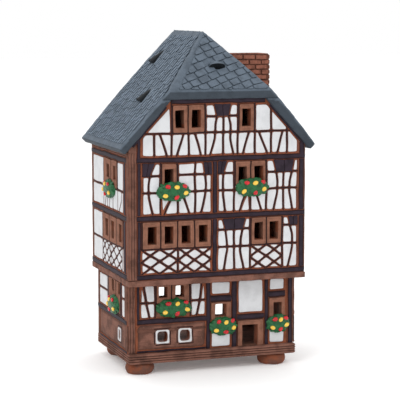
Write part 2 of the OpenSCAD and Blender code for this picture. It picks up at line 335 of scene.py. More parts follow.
def fit_for_inset(outline, gap):
    """The outline without the short edges that a gap would turn inside out, or None."""
    work = straightened(outline)
    while len(work) > 2:
        moved = moved_in(work, gap)
        turned = []
        for i in range(len(work)):
            k = (i + 1) % len(work)
            old = Vector(work[k]) - Vector(work[i])
            new = Vector(moved[k]) - Vector(moved[i])
            if old.dot(new) <= 0:
                turned.append((old.length, i))
        if not turned:
            return work
        i = min(turned)[1]
        k = (i + 1) % len(work)
        work[i] = tuple((Vector(work[i]) + Vector(work[k])) / 2)
        del work[k]
    return None


# The most of an edge that one soft corner takes
CORNER_SHARE = 0.42


def rounded(outline, radius, fill):
    """The outline with soft corners, and so many points filled into each edge."""
    arcs = []
    for i, corner in enumerate(outline):
        b = Vector(corner)
        back = Vector(outline[i - 1]) - b
        on = Vector(outline[(i + 1) % len(outline)]) - b
        reach = min(radius, CORNER_SHARE * back.length, CORNER_SHARE * on.length)
        start = b + back.normalized() * reach
        end = b + on.normalized() * reach
        arcs.append([
            start * (1 - t) ** 2 + b * 2 * t * (1 - t) + end * t * t for t in (0, 0.33, 0.67, 1)
        ])
    points = []
    for i, arc in enumerate(arcs):
        points += arc
        to = arcs[(i + 1) % len(arcs)][0]
        points += [arc[-1].lerp(to, (k + 1) / (fill[i] + 1)) for k in range(fill[i])]
    return [tuple(p) for p in points]


def edge_fill(outline, step=3.5):
    """How many points each edge takes to keep them a step apart."""
    pairs = zip(outline, outline[1:] + outline[:1])
    return [int((Vector(b) - Vector(a)).length / step) for a, b in pairs]


# The output of delaunay_2d_cdt that keeps whole cells, how near points merge, and the least cell
CELL_OUTPUT = 4
MERGE = 0.02
LEAST_CELL = 1.5


def cells(outline, cuts):
    """The cells that lines cut an outline into."""
    points = [Vector(p) for p in outline]
    edges = []
    for cut in cuts:
        first = len(points)
        points += [Vector(p) for p in cut]
        edges += [(first + i, first + i + 1) for i in range(len(cut) - 1)]
    whole = [list(range(len(outline)))]
    result = delaunay_2d_cdt(points, edges, whole, CELL_OUTPUT, MERGE)
    spots, faces = result[0], result[2]
    found = [[tuple(spots[i]) for i in loop] for loop in faces]
    return [c if area(c) > 0 else c[::-1] for c in found if abs(area(c)) > LEAST_CELL]


def clipped(outline, keep):
    """The part of an outline inside a convex outline that turns anticlockwise."""
    for a, b in zip(keep, keep[1:] + keep[:1]):
        edge = Vector(b) - Vector(a)
        result = []
        for p, q in zip(outline, outline[1:] + outline[:1]):
            side_p = edge.cross(Vector(p) - Vector(a))
            side_q = edge.cross(Vector(q) - Vector(a))
            if side_p >= 0:
                result.append(p)
            if side_p * side_q < 0:
                result.append(tuple(Vector(p).lerp(Vector(q), side_p / (side_p - side_q))))
        outline = result
        if len(outline) < 3:
            return []
    return outline


# ---- clay shapes ----

LEAST_PAD = 1.2


def add_pad(lump, outline, gap, height, radius, lean=(0, 0), crown=0.35, rim=1.0):
    """A pillowy pad with soft corners, a gap inside an outline, its rim painted as its line."""
    base = fit_for_inset(outline, gap + crown + 0.25)
    if base is None or area(moved_in(base, gap)) < LEAST_PAD:
        return
    fill = edge_fill(base)
    # Share of the height, how far in from the gap, and paint
    steps = [
        (-0.15, 0.0, 1.0), (0.35, 0.0, 0.75), (0.8, 0.12, 0.12), (0.96, crown * 0.55, 0),
        (1, crown + 0.2, 0),
    ]
    rings = []
    for share, shift, line in steps:
        outline_here = rounded(moved_in(base, gap + shift), radius, fill)
        rings.append(lump.ring(outline_here, height * share, line * rim, lean))
    for outer, inner in zip(rings, rings[1:]):
        lump.join(outer, inner)
    lump.face(rings[-1])


# Profiles across a strip: place across it, height, and paint from -1, bare clay, to 1, the dark line
THIN = [
    (-0.5, -0.3, -0.4), (-0.44, 0.55, -0.6), (-0.3, 0.9, 1), (0, 1, 0.8),
    (0.3, 0.9, 1), (0.44, 0.55, -0.6), (0.5, -0.3, -0.4),
]


def mirrored(half):
    """A whole profile from its first half."""
    return [*half, *[(-at, rise, line) for at, rise, line in reversed(half)]]


WIDE = mirrored([
    (-0.51, -0.2, -1), (-0.5, 0.5, -1), (-0.46, 0.72, -0.6), (-0.42, 0.55, 1),
    (-0.33, 0.5, 1), (-0.28, 0.9, 0.15), (-0.12, 1, 0),
])
RIBBED = mirrored([
    (-0.5, -0.2, 0.5), (-0.49, 0.7, -0.3), (-0.38, 1, 0), (-0.26, 0.9, 0.1),
    (-0.22, 0.35, 1), (-0.18, 0.85, 0.4), (-0.08, 1, 0),
])


def resampled(path, step=2.0):
    """A path with points about a step apart."""
    points = []
    for a, b in zip(path, path[1:]):
        count = max(1, round((Vector(b) - Vector(a)).length / step))
        points += [Vector(a).lerp(Vector(b), i / count) for i in range(count)]
    return points + [Vector(path[-1])]


def smoothed(path, rounds=2):
    """A path with its corners cut, its ends kept."""
    for _ in range(rounds if len(path) > 2 else 0):
        soft = [path[0]]
        for a, b in zip(path, path[1:]):
            soft += [tuple(Vector(a).lerp(Vector(b), share)) for share in (0.25, 0.75)]
        path = soft + [path[-1]]
    return path


# How much a strip's width comes and goes, over what length, and how much of its height its ends keep
BRUSH_SWELL = 0.13
BRUSH_WAVE = 5
END_HEIGHT = 0.7


def add_strip(lump, path, width, height, profile=THIN):
    """A strip of clay or paint along a path, with a profile across it."""
    points = resampled(path)
    rows = []
    for i, p in enumerate(points):
        way = points[min(i + 1, len(points) - 1)] - points[max(i - 1, 0)]
        across = Vector((way.y, -way.x)).normalized()
        swell = 1 + BRUSH_SWELL * noise.noise(Vector((p.x / BRUSH_WAVE, p.y / BRUSH_WAVE, 3)))
        end = END_HEIGHT if i in (0, len(points) - 1) else 1
        first = len(lump.points)
        for share, rise, line in profile:
            spot = p + across * share * width * swell
            lump.points.append(lump.side.at(spot.x, spot.y, height * rise * end))
            lump.lines.append(line)
        rows.append(list(range(first, first + len(profile))))
    for row, after in zip(rows, rows[1:]):
        lump.join(row, after, closed=False)
    lump.face(rows[0])
    lump.face(list(reversed(rows[-1])))


# Steps of a frame: share of the way from its outer edge in to its hole, height, and paint. The steps
# down into the wall line the hole, darker the deeper they go: painted shade over the frame's stained
# clay
FRAME_STEPS = [
    (0.0, -0.2, 1), (0.02, 0.75, 0.9), (0.1, 1.0, 0.1), (0.34, 1.02, 0), (0.42, 0.88, 0.25),
    (0.5, 0.98, 0), (0.84, 1.0, 0), (1.0, 0.8, 0.3), (1.0, -0.5, 0.35), (1.0, -7.5, 0.6),
]
CELLAR_STEPS = [
    (0, -0.2, 1), (0.05, 0.7, 0.4), (0.25, 1, 0), (0.8, 1, 0), (1, 0.6, 0.2), (1, -0.5, 1),
    (1, -7.5, 1),
]


def add_frame(lump, outer, hole, height, outer_radius=0.7, hole_radius=0.5, steps=FRAME_STEPS):
    """A stepped window frame from its outer rectangle in to its hole, lined as deep as the wall."""
    fill = edge_fill(rectangle(*outer))
    rings = []
    for share, rise, line in steps:
        at = [a + (b - a) * share for a, b in zip(outer, hole)]
        radius = outer_radius + (hole_radius - outer_radius) * share
        rings.append(lump.ring(rounded(rectangle(*at), radius, fill), height * rise, line))
    for ring, inner in zip(rings, rings[1:]):
        lump.join(ring, inner)


def add_sheet(lump, outer, holes, height, step=2.5, relief=0.1):
    """A thin sheet of clay with rectangular holes and an uneven face."""

    def stops(low, high, edges):
        marks = sorted({low, high, *[e for e in edges if low < e < high]})
        spread = []
        for a, b in zip(marks, marks[1:]):
            count = max(1, round((b - a) / step))
            spread += [a + (b - a) * i / count for i in range(count)]
        return spread + [high]

    us = stops(outer[0], outer[2], [e for h in holes for e in (h[0], h[2])])
    vs = stops(outer[1], outer[3], [e for h in holes for e in (h[1], h[3])])
    grid = {}
    for i, u in enumerate(us):
        for k, v in enumerate(vs):
            on_rim = i in (0, len(us) - 1) or k in (0, len(vs) - 1)
            rise = -0.1 if on_rim else height + relief * noise.noise(Vector((u / 4, v / 4, 7)))
            grid[i, k] = len(lump.points)
            lump.points.append(lump.side.at(u, v, rise))
            lump.lines.append(0.8 if on_rim else 0)
    for i in range(len(us) - 1):
        for k in range(len(vs) - 1):
            spot = ((us[i] + us[i + 1]) / 2, (vs[k] + vs[k + 1]) / 2)
            if not any(h[0] < spot[0] < h[2] and h[1] < spot[1] < h[3] for h in holes):
                lump.face([grid[i, k], grid[i + 1, k], grid[i + 1, k + 1], grid[i, k + 1]])


def soft_copy(node, material, voxel, rounds, relief, grain=6.0, warp=None, edge_line=0.0):
    """A CAD node as soft clay: edges thumbed round, faces uneven, upright faces painted as lines."""
    mesh = frame["nodes"][node].data.copy()
    weld = bmesh.new()
    weld.from_mesh(mesh)
    bmesh.ops.remove_doubles(weld, verts=weld.verts, dist=1e-6)
    weld.to_mesh(mesh)
    weld.free()
    work = bpy.data.objects.new("work", mesh)
    bpy.context.collection.objects.link(work)
    remesh = work.modifiers.new("Voxels", "REMESH")
    remesh.mode = "VOXEL"
    remesh.voxel_size = voxel * MM
    smooth = work.modifiers.new("Thumb", "SMOOTH")
    smooth.iterations = rounds
    graph = bpy.context.evaluated_depsgraph_get()
    soft = bpy.data.meshes.new_from_object(work.evaluated_get(graph))
    bpy.data.objects.remove(work)
    places = [v.co.copy() for v in soft.vertices]
    normals = [v.normal.copy() for v in soft.vertices]
    lines = []
    moved = []
    for place, normal in zip(places, normals):
        swell = noise.fractal(place / MM / grain, 1.0, 2.0, 3)
        place = place / MM + normal * swell * relief
        if warp:
            place = warp(place)
        moved += [place.x * MM, place.y * MM, max(place.z, 0) * MM]
        lines.append(edge_line if normal.z < 0.3 else 0.0)
    soft.vertices.foreach_set("co", moved)
    soft.attributes.new("line", "FLOAT", "POINT").data.foreach_set("value", lines)
    made = shown(node + "_clay", soft, material, 80)
    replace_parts(made, node)
    return made


# ---- materials ----

class Wire:
    """A value inside a material. Sums written with it add Math nodes."""

    def __init__(self, glaze, socket):
        self.glaze = glaze
        self.socket = socket

    def _math(self, operation, first, second):
        settings = {"operation": operation}
        return self.glaze.node("ShaderNodeMath", 0, settings, {0: first, 1: second})

    def __add__(self, other):
        return self._math("ADD", self, other)

    def __mul__(self, other):
        return self._math("MULTIPLY", self, other)

    __radd__ = __add__
    __rmul__ = __mul__


class Glaze:
    """A material under construction."""

    def __init__(self, name):
        self.material = bpy.data.materials.new(name)
        self.material.use_nodes = True
        self.tree = self.material.node_tree
        self.shader = self.tree.nodes["Principled BSDF"]
        place = self.node("ShaderNodeTexCoord", "Object")
        sockets = {0: place, "Scale": 1 / MM}
        self.place = self.node("ShaderNodeVectorMath", 0, {"operation": "SCALE"}, sockets)

    def node(self, kind, out, settings=None, sockets=None):
        """A node's output, after its settings and then its sockets are set."""
        made = self.tree.nodes.new(kind)
        for name, value in (settings or {}).items():
            setattr(made, name, value)
        for name, value in (sockets or {}).items():
            self.feed(made.inputs[name], value)
        return Wire(self, made.outputs[out])

    def feed(self, socket, value):
        if isinstance(value, Wire):
            self.tree.links.new(value.socket, socket)
        elif hasattr(value, "__len__") and len(value) == 3 and len(socket.default_value) == 4:
            socket.default_value = (*value, 1)
        else:
            socket.default_value = value

    def set(self, **sockets):
        for name, value in sockets.items():
            self.feed(self.shader.inputs[name.replace("_", " ")], value)

    def noise(self, size, detail=4, rough=0.55, place=None):
        """Cloudy noise from 0 to 1 with patches of so many millimetres."""
        sockets = {
            "Vector": place or self.place, "Scale": 1 / size, "Detail": detail, "Roughness": rough,
        }
        return self.node("ShaderNodeTexNoise", 0, None, sockets)

    def step(self, value, low, high):
        """0 below low, 1 above high and smooth between."""
        sockets = {"Value": value, 1: low, 2: high}
        settings = {"interpolation_type": "SMOOTHSTEP"}
        return self.node("ShaderNodeMapRange", 0, settings, sockets)

    def mix(self, share, first, second):
        sockets = {0: share, 6: first, 7: second}
        return self.node("ShaderNodeMix", 2, {"data_type": "RGBA"}, sockets)

    def attribute(self, name):
        return self.node("ShaderNodeAttribute", "Fac", {"attribute_name": name})

    def bump(self, height, depth, strength=1.0):
        """Relief of so many millimetres."""
        sockets = {"Strength": strength, "Distance": depth * MM, "Height": height}
        self.set(Normal=self.node("ShaderNodeBump", 0, None, sockets))

    def grain(self, x, y, z):
        """Coordinates stretched along some axes, for brush strokes and grooves."""
        sockets = {0: self.place, 1: (x, y, z)}
        return self.node("ShaderNodeVectorMath", 0, {"operation": "MULTIPLY"}, sockets)


def shade(tone, factor):
    return [min(1, c * factor) for c in tone]


def fired(
    name, tone, shades, patch=9.0, speckle=0.8, relief=0.12, rough=(0.7, 0.9), coat=0.0, brush=None
):
    """Fired clay or engobe: patches, specks, brush strokes, a line colour in its grooves and in its
    painted shade, relief.

    The shades are its dark patches', its light specks' and its lines', as colours or factors."""
    dark, light, line = [shade(tone, s) if isinstance(s, float) else s for s in shades]
    glaze = Glaze(name)
    clouds = glaze.noise(patch, 5)
    specks = glaze.noise(speckle, 3, 0.7)
    fine = glaze.noise(0.35, 2, 0.6)
    tone = glaze.mix(glaze.step(clouds, 0.35, 0.6), dark, tone)
    tone = glaze.mix(glaze.step(specks, 0.56, 0.72) * 0.55, tone, light)
    tone = glaze.mix(glaze.step(specks, 0.42, 0.3) * 0.6, tone, dark)
    if brush:
        strokes = glaze.noise(1.0, 4, 0.6, glaze.grain(*brush))
        tone = glaze.mix(glaze.step(strokes, 0.5, 0.66) * 0.7, tone, dark)
        specks = specks * 0.5 + strokes
    # The line attribute marks dark painted lines and, on the vents and the window linings, painted
    # shade
    drawn = glaze.attribute("line")
    tone = glaze.mix(drawn, tone, line)
    tone = glaze.mix(drawn * -1, tone, bpy.context.scene.clay_colours.terracotta)
    low, high = rough
    glaze.set(Base_Color=tone, Roughness=clouds * (high - low) + low, Specular_IOR_Level=0.14)
    glaze.set(Coat_Weight=coat, Coat_Roughness=0.25)
    glaze.bump(specks * 0.7 + fine * 0.3, relief)
    return glaze


MATERIALS = {}


def material(name):
    """The named material, made when it is first asked for."""
    if name not in MATERIALS:
        MATERIALS[name] = RECIPES[name](bpy.context.scene.clay_colours).material
    return MATERIALS[name]


def terracotta(colours):
    return fired("terracotta", shade(colours.terracotta, 0.85), (0.62, 1.35, 0.3))


def foot_clay(colours):
    shades = (shade(colours.stain, 0.7), 1.4, 0.3)
    return fired("foot_clay", shade(colours.terracotta, 0.72), shades, 7, 1.0, 0.25)


def stained_clay(colours):
    return fired("stained_clay", colours.stain, (0.55, 1.5, 0.16), 7, 1.1, 0.2)


def brushed_clay(colours):
    """Stained clay with the marks of a flat brush drawn along it."""
    tone = shade(colours.stain, 1.2)
    return fired("brushed_clay", tone, (0.5, 1.5, 0.14), 9, 1.1, 0.25, brush=(0.13, 0.13, 1.7))


def frame_clay(colours):
    return fired("frame_clay", colours.frame, (0.7, 1.4, 0.2), 5, 0.9, 0.12)


def timber_paint(colours):
    shades = (0.62, 1.6, paint(40, 18, 14))
    return fired("timber_paint", colours.timber, shades, 6, 0.9, 0.15, (0.5, 0.7))


def white_engobe(colours):
    shades = (0.9, 1.05, shade(colours.terracotta, 0.75))
    return fired("white_engobe", colours.white, shades, 7, 1.4, 0.12, (0.45, 0.65), 0.05)


def slate_engobe(colours):
    return fired("slate_engobe", colours.slate, (0.72, 1.35, 0.07), 6, 1.3, 0.3, (0.5, 0.72))


def slate_painted_light(colours):
    """The slopes' rough slates, in a lighter copy of the slate glaze that paints the light falling on
    the slopes.
    """
    tone = shade(colours.slate, 1.4)
    return fired("slate_painted_light", tone, (0.66, 1.5, 0.14), 5, 1.5, 0.35, (0.5, 0.72))


def roof_bed(colours):
    tone = shade(colours.slate, 0.92)
    return fired("roof_bed", tone, (0.75, 1.35, 0.12), 8, 1.6, 0.3, (0.5, 0.75))


def brick_clay(colours):
    return fired("brick_clay", colours.brick, (0.6, 1.35, paint(40, 24, 22)), 4, 0.8, 0.3)


def brick_mortar(colours):
    return fired("brick_mortar", shade(colours.brick, 0.45), (0.6, 1.5, 0.3), 4, 0.8, 0.3)


def leaf_glaze(colours):
    shades = (0.55, 1.5, 0.3)
    return fired("leaf_glaze", colours.leaf, shades, 2.2, 0.9, 0.1, (0.25, 0.45), 0.25)


def drop_glaze(name, tone, heart):
    """A thick glossy glaze, deeper in its heart."""
    glaze = Glaze(name)
    deep = glaze.step(glaze.noise(1.6, 2), 0.4, 0.62)
    glaze.set(Base_Color=glaze.mix(deep, tone, heart), Roughness=0.15)
    glaze.set(Specular_IOR_Level=0.3, Coat_Weight=0.45, Coat_Roughness=0.06)
    return glaze


def red_glaze(colours):
    return drop_glaze("red_glaze", colours.red, shade(colours.red, 0.6))


def yellow_glaze(colours):
    return drop_glaze("yellow_glaze", colours.yellow, paint(226, 180, 66))


def floor_paint(_):
    glaze = Glaze("floor_paint")
    tone = bpy.context.scene.clay_studio.floor
    glaze.set(Base_Color=glaze.mix(glaze.noise(60, 3), tone, shade(tone, 0.99)), Roughness=0.85)
    glaze.set(Emission_Color=tone, Emission_Strength=0.12)
    return glaze


RECIPES = {
    recipe.__name__: recipe for recipe in (
        terracotta, foot_clay, stained_clay, brushed_clay, frame_clay, timber_paint, white_engobe,
        slate_engobe, slate_painted_light, roof_bed, brick_clay, brick_mortar, leaf_glaze, red_glaze,
        yellow_glaze, floor_paint,
    )
}


# ---- the walls' layout: heights are above each storey's foot ----

class Bay:
    """A stretch of wall: its outline, its painted timbers and what takes the place of pads."""

    def __init__(self, side, foot, outline, timbers=(), solids=()):
        self.side = side
        self.foot = foot
        self.outline = self._raised(outline)
        self.timbers = [self._raised(t) for t in timbers]
        self.solids = [self._raised(s) for s in solids]

    def _raised(self, path):
        return [(u, v + self.foot) for u, v in path]


def post(u, low, high):
    return [(u, low), (u, high)]


def rail(v, left, right):
    return [(left, v), (right, v)]


def lattice(u0, v0, u1, v1):
    """Both diagonals of a panel, and the diamond that joins the middles of its sides."""
    u = (u0 + u1) / 2
    v = (v0 + v1) / 2
    diamond = [[(u0, v), (u, v1)], [(u, v1), (u1, v)], [(u1, v), (u, v0)], [(u, v0), (u0, v)]]
    return [[(u0, v0), (u, v), (u1, v1)], [(u0, v1), (u, v), (u1, v0)], *diamond]


BEAM_TOP_A = 4.0
SILL_A = 20.6
HEAD_A = 39.1
BEAM_TOP_B = 0.2
RAIL_B = 15.1
HEAD_B = 34.6
GABLE_FOOT = 0.6
GABLE_RAIL = 15.9
GABLE_HEAD = 34.6
UNDER_RAKE = 2.2

# Corbels' outlines, and the height of their foot in the second upper storey
CORBEL_FOOT_B = 26.4
CORBEL_MIDDLE_A = [(5.0, 32), (17.2, 32), (19.2, HEAD_A), (2.9, HEAD_A)]
CORBEL_END_A = [(51.6, 33.2), (57, 33.2), (57, HEAD_A), (49.8, HEAD_A)]
CORBELS_B = [
    [(-53.4, CORBEL_FOOT_B), (-47.8, CORBEL_FOOT_B), (-44.7, HEAD_B), (-53.4, HEAD_B)],
    [(-9.4, CORBEL_FOOT_B), (-4.9, CORBEL_FOOT_B), (-4.9, HEAD_B), (-10.9, HEAD_B)],
    [(-0.6, CORBEL_FOOT_B), (3.7, CORBEL_FOOT_B), (6.2, HEAD_B), (-0.6, HEAD_B)],
    [(41.2, CORBEL_FOOT_B), (52.6, CORBEL_FOOT_B), (54.2, HEAD_B), (39.4, HEAD_B)],
]
CORBEL_GABLE = [(-1.1, 26.8), (6.9, 26.8), (8.5, GABLE_HEAD), (-3.2, GABLE_HEAD)]
CORBELS = [(STOREY_A, CORBEL_MIDDLE_A), (STOREY_A, CORBEL_END_A), (GABLE, CORBEL_GABLE)]
CORBELS += [(STOREY_B, outline) for outline in CORBELS_B]


def rake(u, clear=UNDER_RAKE):
    """Height above the gable's foot of a line that runs clear under the roof."""
    return RIDGE - ROOF_DROP - SLOPE * abs(u) - clear - GABLE


def gable_rail(v):
    """A rail at a height above the gable's foot, from rake to rake."""
    reach = (rake(0) - v) / SLOPE
    return rail(v, -reach - 0.5, reach + 0.5)


def front_storey_a():
    left = [
        *lattice(-54, BEAM_TOP_A, -28.7, SILL_A), *lattice(-28.7, BEAM_TOP_A, -5, SILL_A),
        post(-28.7, BEAM_TOP_A, SILL_A), rail(SILL_A, -54.2, -4.9),
    ]
    solids = [rectangle(-54, SILL_A, -5, HEAD_A)]
    yield Bay(FRONT, STOREY_A, rectangle(-54, BEAM_TOP_A, -5, HEAD_A), left, solids)
    right = [
        [(5.0, 32), (6.0, 25), (6.2, 17.8), (3.7, BEAM_TOP_A)],
        [(17.2, 32), (15.8, 25), (15.4, 17.3), (18, BEAM_TOP_A)],
        post(11.2, BEAM_TOP_A, 32), rail(20.2, -0.9, 22.8), rail(32, -0.9, 22.8),
        post(22.6, BEAM_TOP_A, HEAD_A), *lattice(22.6, BEAM_TOP_A, 46, SILL_A), rail(SILL_A, 22.6, 46),
        post(46, BEAM_TOP_A, HEAD_A), [(51.6, 33.2), (53.2, 27), (53.2, 18.8), (49.8, BEAM_TOP_A)],
        rail(SILL_A, 46, 57), rail(33.2, 46, 57),
    ]
    solids = [rectangle(22.6, SILL_A, 46, HEAD_A), CORBEL_MIDDLE_A, CORBEL_END_A]
    yield Bay(FRONT, STOREY_A, rectangle(-0.9, BEAM_TOP_A, 57, HEAD_A), right, solids)


def front_storey_b():
    low = BEAM_TOP_B
    left = [
        [(-47.8, 26.4), (-48.9, 20), (-48.8, 12), (-46.0, low)],
        [(-9.4, 26.4), (-9.0, 20), (-9.4, 12), (-12.4, low)],
        post(-40.6, low, HEAD_B), post(-28.6, low, HEAD_B), post(-16.5, low, HEAD_B),
        rail(CORBEL_FOOT_B, -53.4, -40.6), rail(CORBEL_FOOT_B, -28.6, -4.9), rail(RAIL_B, -53.4, -4.9),
        [(-31.4, RAIL_B), (-38.3, low)], [(-25.8, RAIL_B), (-20.4, low)],
    ]
    solids = [rectangle(-40.6, 19, -28.6, HEAD_B), *CORBELS_B[:2]]
    yield Bay(FRONT, STOREY_B, rectangle(-53.4, low, -4.9, HEAD_B), left, solids)
    right = [
        [(3.7, 26.4), (2.9, 20), (2.9, 12), (4.9, low)],
        [(41.2, 26.4), (42.2, 20), (42.0, 12), (39.3, low)],
        [(52.6, 26.4), (51.3, 20), (51.0, 12), (53.5, low)],
        post(11, low, HEAD_B), post(22.5, low, RAIL_B), post(34.2, low, HEAD_B), post(46.5, low, 26.4),
        rail(CORBEL_FOOT_B, -0.6, 11), rail(CORBEL_FOOT_B, 34.2, 57), rail(RAIL_B, -0.6, 57),
        [(20.4, RAIL_B), (15.0, low)], [(25.6, RAIL_B), (31.0, low)],
    ]
    solids = [rectangle(11, 19, 34.2, HEAD_B), *CORBELS_B[2:]]
    yield Bay(FRONT, STOREY_B, rectangle(-0.6, low, 57, HEAD_B), right, solids)


def front_gable():
    low = GABLE_FOOT
    left, right = -53.4, 57
    shoulder = (rake(0) - GABLE_HEAD) / SLOPE
    outline = [
        (left, low), (right, low), (right, rake(right)), (shoulder, GABLE_HEAD),
        (-shoulder, GABLE_HEAD), (left, rake(left)),
    ]
    timbers = [
        gable_rail(GABLE_RAIL), post(-45, low, GABLE_RAIL), post(-33, low, HEAD_A),
        post(-21, low, GABLE_RAIL), post(-9.3, low, HEAD_A), post(3.2, low, 26.8),
        post(13.6, low, HEAD_A), post(25.8, low, HEAD_A), post(37.4, low, rake(37.4) + 1),
        post(49, low, rake(49) + 1), [(-41.3, GABLE_RAIL), (-36.0, low)],
        [(-24.6, GABLE_RAIL), (-29.4, low)], [(-16.6, GABLE_RAIL), (-12.4, low)],
        [(21.7, GABLE_RAIL), (17.3, low)], [(28.5, GABLE_RAIL), (34.9, low)],
        [(45.9, GABLE_RAIL), (41.8, low)], [(-1.1, 26.8), (-2.4, 21), (-2.6, 12), (-5.9, low)],
        rail(26.8, -9.3, -1.1), rail(26.8, 6.9, 13.6), [(6.9, 26.8), (8.3, 21), (8.2, 12), (10.5, low)],
    ]
    solids = [
        rectangle(-33, GABLE_RAIL, -9.3, GABLE_HEAD), rectangle(13.6, GABLE_RAIL, 25.8, GABLE_HEAD),
        CORBEL_GABLE,
    ]
    yield Bay(FRONT, GABLE, outline, timbers, solids)


def front_ground():
    low, high = 23.4, 46.4
    left = [
        post(-40.9, low, high), post(-15.7, low, high), rail(34.2, -51.4, -40.9),
        rail(34.2, -15.7, -5.1),
        [(-48.8, high), (-47.2, 34.2), (-44.8, low)], [(-7.6, high), (-9.2, 34.2), (-11.4, low)],
    ]
    solids = [rectangle(-40.9, low, -15.7, high)]
    yield Bay(GROUND_FRONT, GROUND, rectangle(-51.4, low, -5.1, high), left, solids)
    for plain in (
        (-1.1, 37, 13.4, high), (-1.1, 0.4, 13.4, 19.4), (18.2, 23, 37.2, high),
        (41.2, 37.6, 53, high), (41.2, 0.4, 53, 18.4),
    ):
        yield Bay(GROUND_FRONT, GROUND, rectangle(*plain))


def side_storey_a(side):
    low, head = BEAM_TOP_A, HEAD_A
    timbers = [
        post(17.4, low, head), rail(SILL_A, -34.6, 40.6), *lattice(-3.4, low, 17.4, SILL_A),
        post(-3.4, low, SILL_A), *lattice(-31.4, low, -3.4, SILL_A), post(-31.4, low, SILL_A),
    ]
    solids = [rectangle(-34.6, SILL_A, 17.4, head)]
    yield Bay(side, STOREY_A, rectangle(-34.6, low, 40.6, head), timbers, solids)


def side_storey_b(side):
    low, head = BEAM_TOP_B, HEAD_B
    timbers = [
        post(13.9, low, head), post(-21.2, low, head), rail(RAIL_B, -34.2, 40.6),
        post(4.4, low, RAIL_B), post(-9.5, low, RAIL_B),
        [(8.2, RAIL_B), (7.6, 8), (11.2, low)], [(-30.6, RAIL_B), (-29.6, 8), (-23.6, low)],
        [(-3.6, RAIL_B), (-1.2, 8), (-0.6, low)],
    ]
    solids = [rectangle(-21.2, RAIL_B, 13.9, head)]
    yield Bay(side, STOREY_B, rectangle(-34.2, low, 40.6, head), timbers, solids)


def side_ground(side):
    low, high = 23.4, 46.4
    yield Bay(side, GROUND, rectangle(13.6, low, 34, high), [rail(35.6, 13.6, 34)])
    yield Bay(side, GROUND, rectangle(-28.6, low, -22.4, high), [rail(36.6, -28.6, -22.4)])


def back_storey_a():
    low = BEAM_TOP_A
    timbers = [
        rail(SILL_A, -56.8, 56.8), post(-22.4, low, HEAD_A), post(22.4, low, HEAD_A),
        post(-46, low, HEAD_A), post(46, low, HEAD_A), post(0, low, HEAD_A),
        *lattice(-46, low, -22.4, SILL_A), *lattice(22.4, low, 46, SILL_A),
    ]
    for s in (-1, 1):
        timbers += [
            [(s * 19.5, HEAD_A), (s * 14.5, 29), (s * 14, 16), (s * 18.5, low)],
            [(s * 3.2, HEAD_A), (s * 7.4, 29), (s * 7.6, 16), (s * 3.6, low)],
            [(s * 49.4, HEAD_A), (s * 52.8, 29), (s * 52.8, 16), (s * 49.4, low)],
        ]
    solids = [rectangle(s * 34.2 - 11.8, SILL_A, s * 34.2 + 11.8, HEAD_A) for s in (-1, 1)]
    yield Bay(BACK, STOREY_A, rectangle(-56.8, low, 56.8, HEAD_A), timbers, solids)


def back_storey_b():
    low = BEAM_TOP_B
    timbers = [rail(RAIL_B, -56.8, 56.8), rail(26.4, -27.6, 27.6)]
    timbers += [post(u, low, HEAD_B) for u in (-40.4, -27.6, 0, 27.6, 40.4)]
    timbers += [post(u, low, HEAD_B) for u in (-14, 14)]
    for s in (-1, 1):
        timbers += [
            [(s * 44, HEAD_B), (s * 48.4, 24), (s * 48.6, 15), (s * 45, low)],
            [(s * 24.4, RAIL_B), (s * 18, low)], [(s * 3.4, RAIL_B), (s * 10, low)],
            [(s * 30.6, RAIL_B), (s * 37, low)],
        ]
    solids = [rectangle(s * 34 - 6.4, RAIL_B, s * 34 + 6.4, HEAD_B) for s in (-1, 1)]
    yield Bay(BACK, STOREY_B, rectangle(-56.8, low, 56.8, HEAD_B), timbers, solids)


def back_gable():
    low = GABLE_FOOT
    outline = [(-56.8, low), (56.8, low), (56.8, rake(56.8)), (0, rake(0)), (-56.8, rake(56.8))]
    timbers = [
        gable_rail(GABLE_RAIL), gable_rail(GABLE_HEAD), gable_rail(50),
        post(0, GABLE_HEAD, rake(0) + 1), post(0, low, GABLE_RAIL),
    ]
    for s in (-1, 1):
        timbers += [
            post(s * 12.2, low, 50), post(s * 24.4, low, GABLE_HEAD), post(s * 37, low, rake(37) + 1),
            post(s * 49, low, rake(49) + 1), [(s * 16, GABLE_RAIL), (s * 21, low)],
            [(s * 28, GABLE_RAIL), (s * 33.6, low)], [(s * 40.4, low), (s * 45.6, GABLE_RAIL)],
            [(s * 3.4, GABLE_RAIL), (s * 8.6, low)], [(s * 3, 50), (s * 9.4, GABLE_HEAD)],
        ]
    yield Bay(BACK, GABLE, outline, timbers, [rectangle(-12.2, GABLE_RAIL, 12.2, GABLE_HEAD)])


def walls():
    """Every wall's name and its bays."""
    return {
        "storey_a_front": list(front_storey_a()), "storey_b_front": list(front_storey_b()),
        "gable_front": list(front_gable()), "ground_front": list(front_ground()),
        "storey_a_left": list(side_storey_a(LEFT)), "storey_b_left": list(side_storey_b(LEFT)),
        "ground_left": list(side_ground(GROUND_LEFT)),
        "storey_a_right": list(side_storey_a(RIGHT)), "storey_b_right": list(side_storey_b(RIGHT)),
        "ground_right": list(side_ground(GROUND_RIGHT)),
        "storey_a_back": list(back_storey_a()), "storey_b_back": list(back_storey_b()),
        "gable_back": list(back_gable()),
    }


